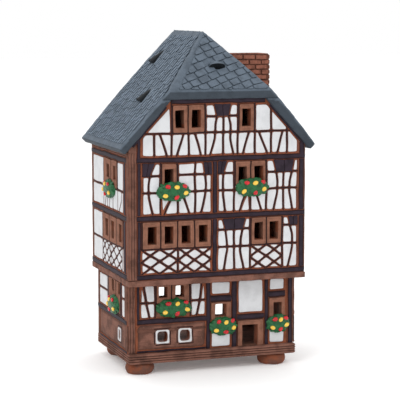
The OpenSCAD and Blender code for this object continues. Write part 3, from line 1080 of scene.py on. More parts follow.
# Window frames: side, storey foot, sill above it, hole height, hole width, and each frame's
# bottom and top above the foot with the middles of the holes and the edges between the frames
BANDS = {
    "frames_gable_front": (FRONT, GABLE, 19.4, 11.8, 6.2, GABLE_RAIL + 0.4, GABLE_HEAD, [
        ([-32.4, -21.5, -9.9], [-27.3, -15.8]), ([14.2, 25.2], [19.6])]),
    "frames_storey_b_front": (FRONT, STOREY_B, 20.7, 10, 6.2, 18.4, HEAD_B - 0.3, [
        ([-40, -29.2], [-34.8]), ([11.6, 22.9, 33.6], [17.1, 28.6])]),
    "frames_storey_a_front": (FRONT, STOREY_A, 24, 11.8, 6.2, SILL_A + 0.4, HEAD_A, [
        ([-53.8, -40.9, -29, -17.1, -5.2], [-46.7, -35.1, -23.1, -11.1]),
        ([23.2, 34.3, 45.4], [28.8, 39.8])]),
    "frames_ground_front": (GROUND_FRONT, GROUND, 37.3, 7.6, 5.9, 33.4, 46.4, [
        ([-40.3, -29.4, -16.3], [-35.4, -23.5])]),
    "frames_storey_a_back": (BACK, STOREY_A, 24, 11.8, 6.2, SILL_A + 0.4, HEAD_A, [
        ([-45.4, -34.2, -23], [-40, -28.5]), ([23, 34.2, 45.4], [28.5, 40])]),
    "frames_storey_b_back": (BACK, STOREY_B, 20.7, 10, 6.2, 16, HEAD_B - 0.3, [
        ([-39.8, -28.2], [-34]), ([28.2, 39.8], [34])]),
    "frames_gable_back": (BACK, GABLE, 19.4, 11.8, 6.2, GABLE_RAIL + 0.4, GABLE_HEAD, [
        ([-11.6, 0, 11.6], [-6, 6])]),
}
for name, upper, ground in (("left", LEFT, GROUND_LEFT), ("right", RIGHT, GROUND_RIGHT)):
    BANDS["frames_storey_a_" + name] = (upper, STOREY_A, 24, 11.8, 6.2, SILL_A + 0.4, HEAD_A, [
        ([-34.2, -18.4, -1.4, 16.8], [-28, -9, 6])])
    BANDS["frames_storey_b_" + name] = (upper, STOREY_B, 21.3, 9, 6.2, RAIL_B + 0.4, HEAD_B - 0.3, [
        ([-20.6, -5.6, 13.3], [-13.8, 2])])
    BANDS["frames_ground_" + name] = (ground, GROUND, 38.1, 7.6, 4.8, 24, 46.4, [
        ([-19.4, -8.4, 10.6], [-16.5, -1])])

# Single frames low in the ground storey: side, outer rectangle and hole above the ground floor
LOW_FRAMES = {
    "frame_middle_window": (GROUND_FRONT, (-1.1, 19.8, 13.4, 31.8), (2.1, 21.9, 9.9, 30.5)),
    "frame_door": (GROUND_FRONT, (18.2, 0.1, 37.2, 18.2), (21.7, 0.1, 32.9, 14.7)),
    "frame_shop_window": (GROUND_FRONT, (41.2, 18.8, 53, 32.8), (44.6, 19.2, 50.6, 29.4)),
}

# Sheets below the sill beams: side, rectangle, name of the cellar windows' frames, and each
# window's middle, hole width and hole height
CELLAR_SILL = 6.6
BASES = {
    "base_sheet_front": (
        GROUND_FRONT, (-53.6, 1.7, -4.9, 19.3), "cellar_frames_front",
        [(-35.7, 7.4, 7.8), (-19.7, 7.4, 7.8)],
    ),
    "base_sheet_left": (
        GROUND_LEFT, (-34.6, 1.7, 34.4, 19.3), "cellar_frame_left", [(-16, 5, 7.4)],
    ),
    "base_sheet_right": (
        GROUND_RIGHT, (-34.6, 1.7, 34.4, 19.3), "cellar_frame_right", [(-16, 5, 7.4)],
    ),
}

# Wide painted beams and posts, and thin dark rails painted as the shadow along the base's foot: side,
# foot, path above it, width
BEAMS = {
    "beams_front": [
        (FRONT, STOREY_A, rail(2, -57, 62.2), 4), (FRONT, STOREY_A, rail(41.3, -57, 62.2), 4),
        (FRONT, STOREY_B, rail(36.6, -57, 62.2), 3.8),
        (FRONT, GABLE, rail(37.3, -33, 33), 4.4),
        (FRONT, GABLE, [(-60, rake(60, 1)), (-36.4, rake(36.4, 1))], 1.6),
        (FRONT, GABLE, [(36.4, rake(36.4, 1)), (60, rake(60, 1))], 1.6),
        (FRONT, GABLE, post(-55.7, -2.4, rake(55.7, 1.4)), 2.5),
        (FRONT, GABLE, post(59.7, -2.4, rake(59.7, 1.4)), 4.2),
        (FRONT, STOREY_A, post(-55.7, 4, 39.2), 2.5), (FRONT, STOREY_B, post(-55.7, 0.2, 34.6), 2.5),
        (FRONT, STOREY_A, post(-2.8, 4, 39.2), 3.4), (FRONT, STOREY_B, post(-2.7, 0.2, 34.6), 3.4),
        (FRONT, STOREY_A, post(59.7, 4, 39.2), 4.2), (FRONT, STOREY_B, post(59.7, 0.2, 34.6), 4.2),
    ],
    "beams_ground_front": [(GROUND_FRONT, GROUND, path, wide) for path, wide in (
        (rail(21.3, -53.6, -1.4), 4.2), (post(-3.1, 0, 47), 3.6), (post(-52.8, 23.4, 47), 2),
        (post(15.8, 0, 47), 4.2), (post(39.3, 0, 47), 3), (post(57, 0, 47), 3.6),
        (rail(34.4, -1.2, 13.8), 5.2), (rail(20.6, 18, 37.8), 4.6), (rail(35.2, 40.9, 53.4), 4.6),
        # Painted shadow: a thin dark rail along the base's foot, where the wall meets the plinth
        (rail(0.9, -53.6, -5), 1.5),
    )],
    "beams_back": [
        (BACK, STOREY_A, rail(2, -62, 62), 4), (BACK, STOREY_A, rail(41.3, -62, 62), 4),
        (BACK, STOREY_B, rail(36.6, -62, 62), 3.8),
        *[(BACK, STOREY_A, post(u, 4, 39.2), 4) for u in (-59.6, 59.6)],
        *[(BACK, STOREY_B, post(u, 0.2, 34.6), 4) for u in (-59.6, 59.6)],
    ],
}
for name, upper, ground in (("left", LEFT, GROUND_LEFT), ("right", RIGHT, GROUND_RIGHT)):
    BEAMS["beams_" + name] = [
        (upper, STOREY_A, rail(2, -41, 45.6), 4), (upper, STOREY_A, rail(41.3, -41, 45.6), 4),
        (upper, STOREY_B, rail(36.6, -41, 45.6), 3.8),
        (upper, STOREY_A, post(-38, 4, 39.2), 5), (upper, STOREY_B, post(-37.9, 0.2, 34.6), 5),
        (ground, GROUND, rail(21.3, -33.5, 39.6), 4.2), (ground, GROUND, post(12, 23.4, 47), 2.8),
        # The last entry, a thin dark rail at 0.9 along the base's foot, is a painted shadow line where
        # the wall meets the plinth
        (ground, GROUND, post(-20.9, 23.4, 47), 2.6), (ground, GROUND, rail(0.9, -33.5, 34.4), 1.5),
    ]

# Brown clay strips: side, foot, path, width
STRIPS = {
    "strips_front": [(GROUND_FRONT, GROUND, rail(15, -53.4, -5.2), 1.8)],
    "strips_back": [
        (BACK, GABLE, [(-60.5, rake(60.5, 1.2)), (0, rake(0, 1.2)), (60.5, rake(60.5, 1.2))], 1.8),
        (BACK, STOREY_A, post(0, 4, 39.2), 1.4),
    ],
    "strips_left": [(LEFT, STOREY_B, rail(40.6, -45, 45), 3.2)],
    "strips_right": [(RIGHT, STOREY_B, rail(40.6, -45, 45), 3.2)],
}

# Brown corner posts: side, foot, path, width
POST_TOP = 41.5
CORNERS = {
    "corner_front": [(FRONT, STOREY_A, post(-59.7, 0.3, STOREY_B - STOREY_A + POST_TOP), 4.6)],
    "corner_ground_front": [(GROUND_FRONT, GROUND, post(-57.4, 0.3, 47.4), 4.8)],
}
for name, upper, ground in (("left", LEFT, GROUND_LEFT), ("right", RIGHT, GROUND_RIGHT)):
    CORNERS["corner_" + name] = [
        (upper, STOREY_A, post(u, 0.3, STOREY_B - STOREY_A + POST_TOP), 4.4) for u in (-43.2, 43.2)
    ]
    CORNERS["corner_ground_" + name] = [
        (ground, GROUND, post(-31, 0.3, 47.4), 4.6), (ground, GROUND, post(37.2, 0.3, 47.4), 4.6),
    ]

# Flower clusters: side, middle along it, middle's height and width
FLOWERS = {
    "flowers_front_upper": [(FRONT, -32, STOREY_B + 15.6, 24), (FRONT, 23.4, STOREY_B + 16.5, 24)],
    "flowers_front_ground": [
        (GROUND_FRONT, -27.9, GROUND + 30, 26), (GROUND_FRONT, 7.4, GROUND + 15.1, 20.6),
        (GROUND_FRONT, 47.6, GROUND + 14.4, 17),
    ],
    "flowers_left": [(LEFT, -4.5, STOREY_B + 14.1, 24), (GROUND_LEFT, -6, GROUND + 29.5, 24)],
    "flowers_right": [(RIGHT, -4.5, STOREY_B + 14.1, 24), (GROUND_RIGHT, -6, GROUND + 29.5, 24)],
}

# Half width, half height and rise of a full cluster, and its drops' places from its middle
CLUSTER = Vector((12, 6.5, 4.9))
RED_DROPS = [(-4.3, 3.6), (7.4, 3.6), (1.5, -3.4)]
YELLOW_DROPS = [(1.5, 3.2), (-6.5, -2.2), (7.9, -0.9)]

# Vent hoods on the roof: side, middle along it, how far up it, half width, length, rise, and how
# many of the points across it are pale; the rest, the near cheek, are painted dark as shade
VENTS = {
    "vent_hip": (HIP, 2, (RIDGE - 23 - HIP_FOOT) / math.sin(HIP_ANGLE) + 1.2, 5.6, 6.5, 5.2, 13),
}
for name, slope_side in (("left", ROOF_LEFT), ("right", ROOF_RIGHT)):
    for level, u, drop in (("upper", 33, 19), ("lower", -9, 43.5)):
        up = (RIDGE - drop - EAVE) / math.sin(SLOPE_ANGLE)
        VENTS[f"vent_{name}_{level}"] = (slope_side, MIDDLE + u - 1, up, 4.2, 13, 3.3, 4)


# ---- makers of pieces ----

def sizes():
    """The sizes in millimetres."""
    group = bpy.context.scene.clay_sizes
    return {name: getattr(group, name) / MM for name in ClaySizes.__annotations__}


def coat_nodes(names, recipe):
    """Gives CAD nodes a procedural finish."""
    for name in names:
        slots = frame["nodes"][name].data.materials
        slots.clear()
        slots.append(material(recipe))


def make_pads(name, bays):
    """A white pad in each cell between a wall's timbers."""
    size = sizes()
    lump = Lump(bays[0].side)
    for bay in bays:
        cuts = [*bay.timbers, *[s + s[:1] for s in bay.solids]]
        for cell in cells(bay.outline, cuts):
            if not any(inside(centre(cell), solid) for solid in bay.solids):
                add_pad(lump, cell, size["pad_gap"], size["pad_height"], 1.1)
    lump.piece("pads_" + name, material("white_engobe"), "white_glaze")


SIDE_FINENESS = 0.85
TIMBER_RISE = 0.34


def make_timbers(name, bays):
    """A wall's thin timbers, finer on the narrow sides."""
    size = sizes()
    lump = Lump(bays[0].side)
    for bay in bays:
        fine = SIDE_FINENESS if abs(bay.side.out.x) > 0.5 else 1.0
        for path in bay.timbers:
            add_strip(lump, smoothed(path), size["thin_timber"] * fine, TIMBER_RISE)
    if lump.points:
        lump.piece("timbers_" + name, material("timber_paint"), "timber_engobe")


def make_strips(table, recipe, slot, height, profile):
    """A table's strips, one piece for each side; a second side is the ground storey's."""
    for name, strips in table.items():
        lumps = {}
        for side, foot, path, width in strips:
            lump = lumps.setdefault(side, Lump(side))
            add_strip(lump, [(u, v + foot) for u, v in path], width, height, profile)
        for suffix, lump in zip(("", "_ground"), lumps.values()):
            lump.piece(name + suffix, material(recipe), slot)


FRAME_GAP = 0.35
FRAME_RISE = 0.95
DIVIDER_WIDE = 1.1


def make_frames():
    """Stepped frames round the windows and the door, with painted edges between them."""
    dividers = {}
    for name, (side, foot, sill, high, wide, bottom, top, groups) in BANDS.items():
        lump = Lump(side)
        dark = dividers.setdefault(side, Lump(side))
        for edges, middles in groups:
            for u0, u1, u in zip(edges, edges[1:], middles):
                hole = (u - wide / 2, foot + sill, u + wide / 2, foot + sill + high)
                outer = (u0 + FRAME_GAP, foot + bottom, u1 - FRAME_GAP, foot + top)
                add_frame(lump, outer, hole, FRAME_RISE)
            for u in edges:
                add_strip(dark, post(u, foot + bottom, foot + top), DIVIDER_WIDE, 0.85)
            add_strip(dark, rail(foot + bottom - 0.3, edges[0], edges[-1]), DIVIDER_WIDE, 0.7)
        lump.piece(name, material("frame_clay"), "stained_clay")
    for number, lump in enumerate(dividers.values(), 1):
        lump.piece(f"frame_edges_{number}", material("timber_paint"), "timber_engobe")
    for name, (side, outer, hole) in LOW_FRAMES.items():
        lump = Lump(side)
        outer, hole = [(u0, v0 + GROUND, u1, v1 + GROUND) for u0, v0, u1, v1 in (outer, hole)]
        add_frame(lump, outer, hole, 1.0)
        lump.piece(name, material("frame_clay"), "stained_clay")


def make_base_sheets():
    """Plain brown clay below the sill beams, and the board under the window band."""
    for name, (side, outer, _, windows) in BASES.items():
        lump = Lump(side)
        sill = GROUND + CELLAR_SILL
        holes = [(u - w / 2 - 0.4, sill - 0.4, u + w / 2 + 0.4, sill + h + 0.4) for u, w, h in windows]
        add_sheet(lump, (outer[0], outer[1] + GROUND, outer[2], outer[3] + GROUND), holes, 0.4)
        lump.piece(name, material("brushed_clay"), "stained_clay")
    board = Lump(GROUND_FRONT)
    add_sheet(board, (-40.6, GROUND + 23.6, -16, GROUND + 33.2), [], 0.5)
    board.piece("board_under_band", material("frame_clay"), "stained_clay")


CELLAR_RIM = 1.15
CELLAR_LINE = 0.7


def make_cellar_frames():
    """White frames of the cellar windows, each with a dark line round it."""
    for side, _, name, windows in BASES.values():
        white, dark = Lump(side), Lump(side)
        for u, w, h in windows:
            sill = GROUND + CELLAR_SILL
            hole = (u - w / 2 + 0.1, sill + 0.1, u + w / 2 - 0.1, sill + h - 0.1)
            outer = (u - w / 2 - CELLAR_RIM, sill - 1.05, u + w / 2 + CELLAR_RIM, sill + h + 1.05)
            add_frame(white, outer, hole, 0.9, 1.2, 2.4, CELLAR_STEPS)
            line = rectangle(
                outer[0] - CELLAR_LINE, outer[1] - CELLAR_LINE,
                outer[2] + CELLAR_LINE, outer[3] + CELLAR_LINE,
            )
            add_strip(dark, line + line[:1], 1.1, 0.55)
        white.piece(name, material("white_engobe"), "white_glaze")
        dark.piece(name.replace("frame", "line"), material("timber_paint"), "timber_engobe")


def make_corbels():
    """The corbels, each in two halves."""
    lump = Lump(FRONT)
    for foot, outline in CORBELS:
        low, high = min(v for _, v in outline), max(v for _, v in outline)
        mid_low = centre([p for p in outline if p[1] == low])[0]
        mid_high = centre([p for p in outline if p[1] == high])[0]
        split = [(mid_low, low + foot - 1), (mid_high, high + foot + 1)]
        for half in cells([(u, v + foot) for u, v in outline], [split]):
            add_pad(lump, half, 0.12, 0.8, 0.4, crown=0.1, rim=0.5)
    lump.piece("corbels", material("timber_paint"), "timber_engobe")


def make_posts():
    for corner in ("front_left", "front_right", "back_left", "back_right"):
        soft_copy("post_" + corner, material("stained_clay"), 0.6, 2, 0.14)
        soft_copy("ground_post_" + corner, material("stained_clay"), 0.6, 2, 0.14)


def make_jetty():
    for side in ("front", "back", "left", "right"):
        soft_copy("jetty_" + side, material("brushed_clay"), 0.6, 3, 0.2)


def make_feet():
    for corner in ("front_left", "front_right", "back_left", "back_right"):
        soft_copy("foot_" + corner, material("foot_clay"), 0.6, 3, 0.4, 8)


# Profile up the plinth: share of its height, and how far in. Its grooves lie 0.5 to 0.6 in
PLINTH_PROFILE = [
    (0.0, 0.9), (0.04, 0.3), (0.12, 0.05), (0.22, 0.0), (0.25, 0.55), (0.29, 0.55), (0.32, 0.05),
    (0.46, 0.0), (0.49, 0.6), (0.53, 0.6), (0.56, 0.05), (0.7, 0.0), (0.73, 0.55), (0.77, 0.5),
    (0.8, 0.05), (0.92, 0.1), (0.98, 0.45), (1.0, 1.2),
]
PLINTH_STRAY = 0.16


def make_plinth():
    """A slab with three drawn grooves round it and a soft rim."""
    deep = PLINTH_HIGH.z - PLINTH_LOW.z
    outline = rectangle(PLINTH_LOW.x, PLINTH_LOW.y, PLINTH_HIGH.x, PLINTH_HIGH.y)
    fill = edge_fill(outline, 1.6)
    lump = Lump()
    rings = []
    for share, step in PLINTH_PROFILE:
        spots = rounded(moved_in(outline, step), 1.6, fill)
        z = PLINTH_LOW.z + deep * share
        places = []
        for x, y in spots:
            stray = noise.noise_vector(Vector((x / 7, y / 7, z / 2))) * PLINTH_STRAY
            places.append(Vector((x + stray.x, y + stray.y, z + stray.z * (0 < share < 1))) * MM)
        rings.append(lump.loose(places, 0.75 if 0.5 <= step <= 0.6 else 0))
    for ring, after in zip(rings, rings[1:]):
        lump.join(ring, after)
    lump.face(list(reversed(rings[0])))
    lump.face(rings[-1])
    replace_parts(lump.piece("plinth_clay", material("brushed_clay"), "stained_clay"), "plinth")


def make_roof():
    for node in ("roof_left", "roof_right", "roof_hip"):
        soft_copy(node, material("roof_bed"), 1.0, 6, 0.2, 5, bulged, 0.66)


# Slates: turn of their rows, height of a row, a slate's length, seed, and how far its corners stray
HIP_SLATES = (math.radians(24), 5.4, 7.4, 3)
SLOPE_SLATES = (math.radians(84), 4.3, 6.4, 5, 1.6)
SLATE_WAVE = 4
LEAST_SLATE = 2.5


def slate_rows(outline, turn, pitch, long, seed, stray=0.0):
    """Staggered four-cornered slates in turned rows, cut to a convex outline."""
    chance = random.Random(seed)
    along = Vector((math.cos(turn), math.sin(turn)))
    up = Vector((-along.y, along.x))
    reach = max(Vector(p).length for p in outline) + long
    start = Vector(centre(outline))
    rows = int(reach / pitch) + 1
    for row in range(-rows, rows + 1):
        place = -reach + long * chance.random()
        while place < reach:
            width = long * chance.uniform(0.82, 1.18)
            spots = [(place, row), (place + width, row), (place + width, row + 1), (place, row + 1)]
            slate = []
            for u, v in spots:
                p = start + along * u + up * v * pitch
                wave = noise.noise_vector(Vector((p.x / SLATE_WAVE, p.y / SLATE_WAVE, seed)))
                slate.append(tuple(p + wave.xy * stray))
            slate = clipped(slate, outline)
            if slate and area(slate) > LEAST_SLATE:
                yield slate
            place += width


def make_slates():
    """Slates on the hip and on both slopes, clear of the vents and of the chimney."""
    size = sizes()
    gap, height = size["slate_gap"], size["slate_height"]
    hip_high = HIP_RUN / math.cos(HIP_ANGLE)
    hip_half = (RIDGE - HIP_FOOT) / SLOPE
    hip = moved_in([(-hip_half + 5.5, 0), (hip_half, 0), (0, hip_high)], 0.6)
    lump = Lump(HIP)
    vent_u, vent_v = VENTS["vent_hip"][1:3]
    for slate in slate_rows(hip, *HIP_SLATES):
        u, v = centre(slate)
        if not (abs(u - vent_u) < 5.5 and abs(v - vent_v) < 2.6):
            add_pad(lump, slate, gap * 0.6, height, 1.0, (-0.05, -0.07), 0.22, 0.45)
    lump.piece("slates_hip", material("slate_engobe"), "slate_engobe")
    slope_high = (RIDGE - EAVE) / math.sin(SLOPE_ANGLE)
    hip_start = (HIP_FOOT - EAVE) / math.sin(SLOPE_ANGLE)
    outline = moved_in([
        (VERGE_Y, 0), (-VERGE_Y, 0), (-VERGE_Y, slope_high), (HIP_APEX_Y, slope_high),
        (VERGE_Y, hip_start),
    ], 4.2)
    for side, name in ((ROOF_LEFT, "left"), (ROOF_RIGHT, "right")):
        lump = Lump(side)
        vents = [vent[1:3] for vent in VENTS.values() if vent[0] is side]
        for slate in slate_rows(outline, *SLOPE_SLATES):
            u, v = centre(slate)
            x = EAVE_X - v * math.cos(SLOPE_ANGLE)
            in_line = CHIMNEY_LOW.y < u < CHIMNEY_HIGH.y and CHIMNEY_LOW.x < x < CHIMNEY_HIGH.x
            on_chimney = side is ROOF_RIGHT and in_line
            on_vent = any(abs(u - at) < 4.4 and abs(v - up) < 7 for at, up in vents)
            if not on_vent and not on_chimney:
                add_pad(lump, slate, gap * 0.5, height * 0.65, 0.9, (-0.12, -0.02), 0.3, 0.4)
        # The slopes' slates take the lighter copy of the slate glaze, as painted light
        lump.piece("slates_" + name, material("slate_painted_light"), "slate_engobe")


# Steps along a vent's hood and across it
HOOD_LONG = 10
HOOD_ROUND = 12


def make_vents():
    """Each vent's pinched hood: open down the slope, a point up it, its near cheek dark, partly dark
    engobe and partly painted shade, and its mouth closed by a dark sheet of painted shade.
    """
    for name, (side, u, v, half, long, rise, pale) in VENTS.items():
        lump = Lump(side)
        rows = []
        for i in range(HOOD_LONG + 1):
            taper = 1 - i / HOOD_LONG
            wide = half * taper ** 0.6 + 0.15
            row = []
            for k in range(HOOD_ROUND + 1):
                turn = math.pi * k / HOOD_ROUND
                high = rise * taper ** 0.9 * math.sin(turn) ** 0.6 - 0.3
                spot = side.at(u - wide * math.cos(turn), v - long * (taper - 0.6), high)
                lump.points.append(spot)
                # Partly painted shade: points across the near cheek take the dark line colour; the
                # last, pale ones don't
                lump.lines.append(1.0 if k <= HOOD_ROUND - pale else 0.0)
                row.append(len(lump.points) - 1)
            rows.append(row)
        for row, after in zip(rows, rows[1:]):
            lump.join(row, after, closed=False)
        # Painted shade: a dark sheet closes the mouth where the inside of the hood would be in shade
        mouth = [lump.points[k].copy() for k in rows[0]]
        lump.face(lump.loose(mouth, 1.0))
        lump.piece(name, material("slate_engobe"), "slate_engobe")


BRICK_HIGH = 3.5
BRICK_LONG = 9
LEAST_BRICK = 4
FLUE_HALF = 9.75


def make_chimney():
    """Bricks on the chimney's four faces and round its top."""
    size = sizes()
    coat_nodes(["chimney"], "brick_mortar")
    low, high = CHIMNEY_LOW, CHIMNEY_HIGH
    middle = (low + high) / 2
    faces = {
        "front": (Side((middle.x, low.y, high.z), X, Z, -Y), (high.x - low.x) / 2),
        "back": (Side((middle.x, high.y, high.z), X, Z, Y), (high.x - low.x) / 2),
        "left": (Side((low.x, middle.y, high.z), Y, Z, -X), (high.y - low.y) / 2),
        "right": (Side((high.x, middle.y, high.z), Y, Z, X), (high.y - low.y) / 2),
    }
    for name, (side, half) in faces.items():
        lump = Lump(side)
        row = 0
        while row * BRICK_HIGH < high.z - low.z:
            top = -row * BRICK_HIGH
            place = -half - (BRICK_LONG / 2 if row % 2 else 0)
            while place < half:
                left, right = max(place, -half), min(place + BRICK_LONG, half)
                brick = rectangle(left, top - BRICK_HIGH, right, top)
                if area(brick) > LEAST_BRICK:
                    add_pad(lump, brick, size["brick_gap"], 0.75, 0.4, crown=0.2)
                place += BRICK_LONG
            row += 1
        lump.piece("bricks_" + name, material("brick_clay"), "terracotta")
    top = Lump(Side((0, 0, high.z), X, Y, Z))
    wall = (high.x - low.x - 2 * FLUE_HALF) / 2
    near, far = low.y + wall, high.y - wall
    for u0, v0, u1, v1 in (
        (low.x, low.y, high.x, near), (low.x, far, high.x, high.y),
        (low.x, near, low.x + wall, far), (high.x - wall, near, high.x, far),
    ):
        joints = [post((u0 + u1) / 2 - 2, v0 - 1, v1 + 1)] if u1 - u0 > BRICK_LONG else []
        for cell in cells(rectangle(u0, v0, u1, v1), joints):
            add_pad(top, cell, size["brick_gap"], 0.7, 0.7, crown=0.2)
    top.piece("bricks_top", material("brick_clay"), "terracotta")


def add_blob(lump, spot, long, short, thick, turn, tilt=(0, 0), rings=4, spokes=9):
    """A soft oval lump round a spot (along, up, out), its long axis turned by an angle."""
    rows = []
    for i in range(1, rings + 1):
        angle = math.pi * i / (rings + 1)
        row = []
        for k in range(spokes):
            round_angle = 2 * math.pi * k / spokes
            a = long * math.sin(angle) * math.cos(round_angle)
            b = short * math.sin(angle) * math.sin(round_angle)
            c = thick * math.cos(angle) + a * tilt[0] + b * tilt[1]
            u = a * math.cos(turn) - b * math.sin(turn)
            v = a * math.sin(turn) + b * math.cos(turn)
            lump.points.append(lump.side.at(spot[0] + u, spot[1] + v, spot[2] + c))
            lump.lines.append(max(0, -math.cos(angle)))
            row.append(len(lump.points) - 1)
        rows.append(row)
    lump.face(rows[0])
    for upper, lower in zip(rows, rows[1:]):
        lump.join(lower, upper)
    lump.face(list(reversed(rows[-1])))


def on_cluster(u, v):
    """How far out a cluster's dome stands at a place measured from its middle."""
    rest = 1 - (u / CLUSTER.x) ** 2 - (v / CLUSTER.y) ** 2
    return CLUSTER.z * math.sqrt(max(rest, 0))


# Leaves on a cluster, and the turn from each to the next
LEAVES = 70
LEAF_TURN = 2.39996


def add_leaves(lump, u0, v0, squeeze, chance):
    """A dome of clay pressed over with short leaves."""
    add_blob(
        lump, (u0, v0, 0), CLUSTER.x * 0.97 * squeeze, CLUSTER.y * 0.97, CLUSTER.z * 0.95, 0,
        rings=12, spokes=40,
    )
    for i in range(LEAVES):
        away = math.sqrt((i + 0.5) / LEAVES)
        turn = i * LEAF_TURN + chance.uniform(-0.2, 0.2)
        u = CLUSTER.x * 0.9 * away * math.cos(turn)
        v = CLUSTER.y * 0.9 * away * math.sin(turn)
        tilt = (-u / CLUSTER.x * 0.6, -v / CLUSTER.y * 0.9)
        add_blob(
            lump, (u0 + u * squeeze, v0 + v, on_cluster(u, v) * 0.95), chance.uniform(1.6, 2.2),
            chance.uniform(1.0, 1.4), 0.4, chance.uniform(-0.7, 0.7), tilt, 5, 12,
        )


def add_drops(lump, u0, v0, squeeze, places, chance):
    """Glossy drops of glaze on a cluster."""
    for u, v in places:
        wide = chance.uniform(1.7, 2.1)
        spot = (u0 + u * squeeze, v0 + v, on_cluster(u, v) + 0.3)
        add_blob(lump, spot, wide, 1.45, 1.05, chance.uniform(-0.5, 0.9), rings=8, spokes=16)


def make_flowers():
    """Each cluster's leaves, red drops and yellow drops."""
    for name, clusters in FLOWERS.items():
        chance = random.Random(name)
        for number, (side, u0, v0, wide) in enumerate(clusters, 1):
            squeeze = wide / 2 / CLUSTER.x
            leaf, red, yellow = Lump(side), Lump(side), Lump(side)
            add_leaves(leaf, u0, v0, squeeze, chance)
            add_drops(red, u0, v0, squeeze, RED_DROPS, chance)
            add_drops(yellow, u0, v0, squeeze, YELLOW_DROPS, chance)
            made = leaf.piece(f"{name}_leaves_{number}", material("leaf_glaze"), "flower_green", 80)
            red.piece(f"{name}_red_{number}", material("red_glaze"), "flower_red", 80)
            yellow.piece(f"{name}_yellow_{number}", material("yellow_glaze"), "flower_yellow", 80)
            if number == 1:
                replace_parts(made, name)


# ---- operators ----

class CLAY_OT_walls(bpy.types.Operator):
    """Gives the walls, piers and lintel their bare and stained clay"""
    bl_idname = "clay.walls"
    bl_label = "Wall slabs"

    def execute(self, context):
        plain = [n for n in frame["nodes"] if n.startswith(("storey_", "gable_", "ground_wall"))]
        coat_nodes(plain, "terracotta")
        back = ["ground_pier_back_left", "ground_pier_back_right", "ground_lintel_back"]
        coat_nodes(back, "stained_clay")
        return {"FINISHED"}


class CLAY_OT_pads(bpy.types.Operator):
    """Lays the white infill pads between the timbers"""
    bl_idname = "clay.pads"
    bl_label = "White pads"

    def execute(self, context):
        for name, bays in walls().items():
            make_pads(name, bays)
        return {"FINISHED"}


class CLAY_OT_timbers(bpy.types.Operator):
    """Draws the thin painted posts, rails, braces and lattices"""
    bl_idname = "clay.timbers"
    bl_label = "Thin timbers"

    def execute(self, context):
        for name, bays in walls().items():
            make_timbers(name, bays)
        return {"FINISHED"}


class CLAY_OT_beams(bpy.types.Operator):
    """Lays the wide painted beams and posts, the painted shadow lines at the base's foot, the brown
    strips and the corbels
    """
    bl_idname = "clay.beams"
    bl_label = "Beams and corbels"

    def execute(self, context):
        height = sizes()["beam_height"]
        make_strips(BEAMS, "timber_paint", "timber_engobe", height, WIDE)
        make_strips(STRIPS, "stained_clay", "stained_clay", height, RIBBED)
        make_strips(CORNERS, "stained_clay", "stained_clay", 0.5, RIBBED)
        make_corbels()
        return {"FINISHED"}


class CLAY_OT_frames(bpy.types.Operator):
    """Sets the stepped window frames and the door frame"""
    bl_idname = "clay.frames"
    bl_label = "Window frames"

    def execute(self, context):
        make_frames()
        return {"FINISHED"}


class CLAY_OT_base(bpy.types.Operator):
    """Covers the foot of the ground storey and frames its cellar windows"""
    bl_idname = "clay.base"
    bl_label = "Base and cellar windows"

    def execute(self, context):
        make_base_sheets()
        make_cellar_frames()
        return {"FINISHED"}


class CLAY_OT_body(bpy.types.Operator):
    """Softens the corner posts, the jetty moulding, the plinth and the feet"""
    bl_idname = "clay.body"
    bl_label = "Posts, jetty, plinth and feet"

    def execute(self, context):
        make_posts()
        make_jetty()
        make_plinth()
        make_feet()
        return {"FINISHED"}


class CLAY_OT_roof(bpy.types.Operator):
    """Softens the roof slabs and lays their slates and vent hoods"""
    bl_idname = "clay.roof"
    bl_label = "Roof"

    def execute(self, context):
        make_roof()
        make_slates()
        make_vents()
        return {"FINISHED"}


class CLAY_OT_chimney(bpy.types.Operator):
    """Bricks the chimney"""
    bl_idname = "clay.chimney"
    bl_label = "Chimney"

    def execute(self, context):
        make_chimney()
        return {"FINISHED"}


class CLAY_OT_flowers(bpy.types.Operator):
    """Shapes the leaves and glaze drops of the flower clusters"""
    bl_idname = "clay.flowers"
    bl_label = "Flower clusters"

    def execute(self, context):
        make_flowers()
        return {"FINISHED"}


AIM = Vector((2.7, MIDDLE, 112.65))
LIGHT_AIM = Vector((0, 0, 0.1))
FLOOR_HALF = 6


def add_light(name, place, size, power):
    """A soft square light, all in metres and watts."""
    data = bpy.data.lights.new(name, "AREA")
    data.energy = power
    data.size = size
    light = bpy.data.objects.new(name, data)
    light.location = place
    light.rotation_euler = (LIGHT_AIM - Vector(place)).to_track_quat("-Z", "Y").to_euler()
    bpy.context.collection.objects.link(light)


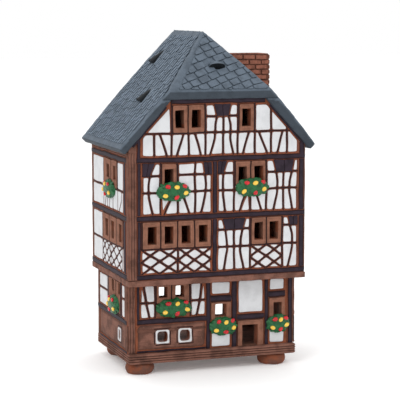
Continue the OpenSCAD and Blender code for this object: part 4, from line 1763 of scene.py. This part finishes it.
class CLAY_OT_stage(bpy.types.Operator):
    """Sets the floor, the soft light and the camera"""
    bl_idname = "clay.stage"
    bl_label = "Studio"

    def execute(self, context):
        scene = context.scene
        studio = scene.clay_studio
        self.floor()
        self.lights(scene)
        turn, rise = studio.azimuth, studio.elevation
        level = math.cos(rise)
        ahead = Vector((-math.sin(turn) * level, math.cos(turn) * level, -math.sin(rise)))
        data = bpy.data.cameras.new("camera")
        data.lens = studio.lens
        data.sensor_width = 36
        data.clip_start = 0.01
        data.clip_end = 50
        camera = bpy.data.objects.new("camera", data)
        camera.location = AIM * MM - ahead * studio.distance
        camera.rotation_euler = ahead.to_track_quat("-Z", "Y").to_euler()
        scene.collection.objects.link(camera)
        scene.camera = camera
        return {"FINISHED"}

    def floor(self):
        mesh = bpy.data.meshes.new("floor")
        spots = [(u, v, 0) for u, v in rectangle(-FLOOR_HALF, -FLOOR_HALF, FLOOR_HALF, FLOOR_HALF)]
        mesh.from_pydata(spots, [], [(0, 1, 2, 3)])
        mesh.materials.append(material("floor_paint"))
        floor = bpy.data.objects.new("floor", mesh)
        bpy.context.collection.objects.link(floor)

    def lights(self, scene):
        world = bpy.data.worlds.new("studio")
        world.use_nodes = True
        sky = world.node_tree.nodes["Background"]
        sky.inputs["Color"].default_value = (1, 1, 1, 1)
        sky.inputs["Strength"].default_value = 1.0
        scene.world = world
        scene.view_settings.view_transform = "Standard"
        add_light("key", (-1.05, -0.95, 1.15), 0.6, 6)
        add_light("fill", (1.1, -0.9, 0.6), 0.9, 1.5)
        add_light("top", (0, 0.5, 1.5), 0.9, 3)


class CLAY_PT_house(bpy.types.Panel):
    """Lists the steps in which the house is made"""
    bl_idname = "CLAY_PT_house"
    bl_label = "Clay candle house"
    bl_space_type = "VIEW_3D"
    bl_region_type = "UI"
    bl_category = "Clay house"

    def draw(self, context):
        for step in STEPS:
            self.layout.operator(step.bl_idname)
        for group in (context.scene.clay_sizes, context.scene.clay_colours, context.scene.clay_studio):
            for name in type(group).__annotations__:
                self.layout.prop(group, name)


STEPS = (
    CLAY_OT_walls, CLAY_OT_pads, CLAY_OT_timbers, CLAY_OT_beams, CLAY_OT_frames, CLAY_OT_base,
    CLAY_OT_body, CLAY_OT_roof, CLAY_OT_chimney, CLAY_OT_flowers, CLAY_OT_stage,
)
GROUPS = {"clay_sizes": ClaySizes, "clay_colours": ClayColours, "clay_studio": ClayStudio}


def register():
    noise.seed_set(STRAY_SEED)
    for name, group in GROUPS.items():
        bpy.utils.register_class(group)
        setattr(bpy.types.Scene, name, bpy.props.PointerProperty(type=group))
    for shown_class in (*STEPS, CLAY_PT_house):
        bpy.utils.register_class(shown_class)


def unregister():
    for shown_class in (CLAY_PT_house, *reversed(STEPS)):
        bpy.utils.unregister_class(shown_class)
    for name, group in GROUPS.items():
        delattr(bpy.types.Scene, name)
        bpy.utils.unregister_class(group)


def main():
    register()
    for step in STEPS:
        group, name = step.bl_idname.split(".")
        getattr(getattr(bpy.ops, group), name)()


if __name__ == "__main__":
    main()
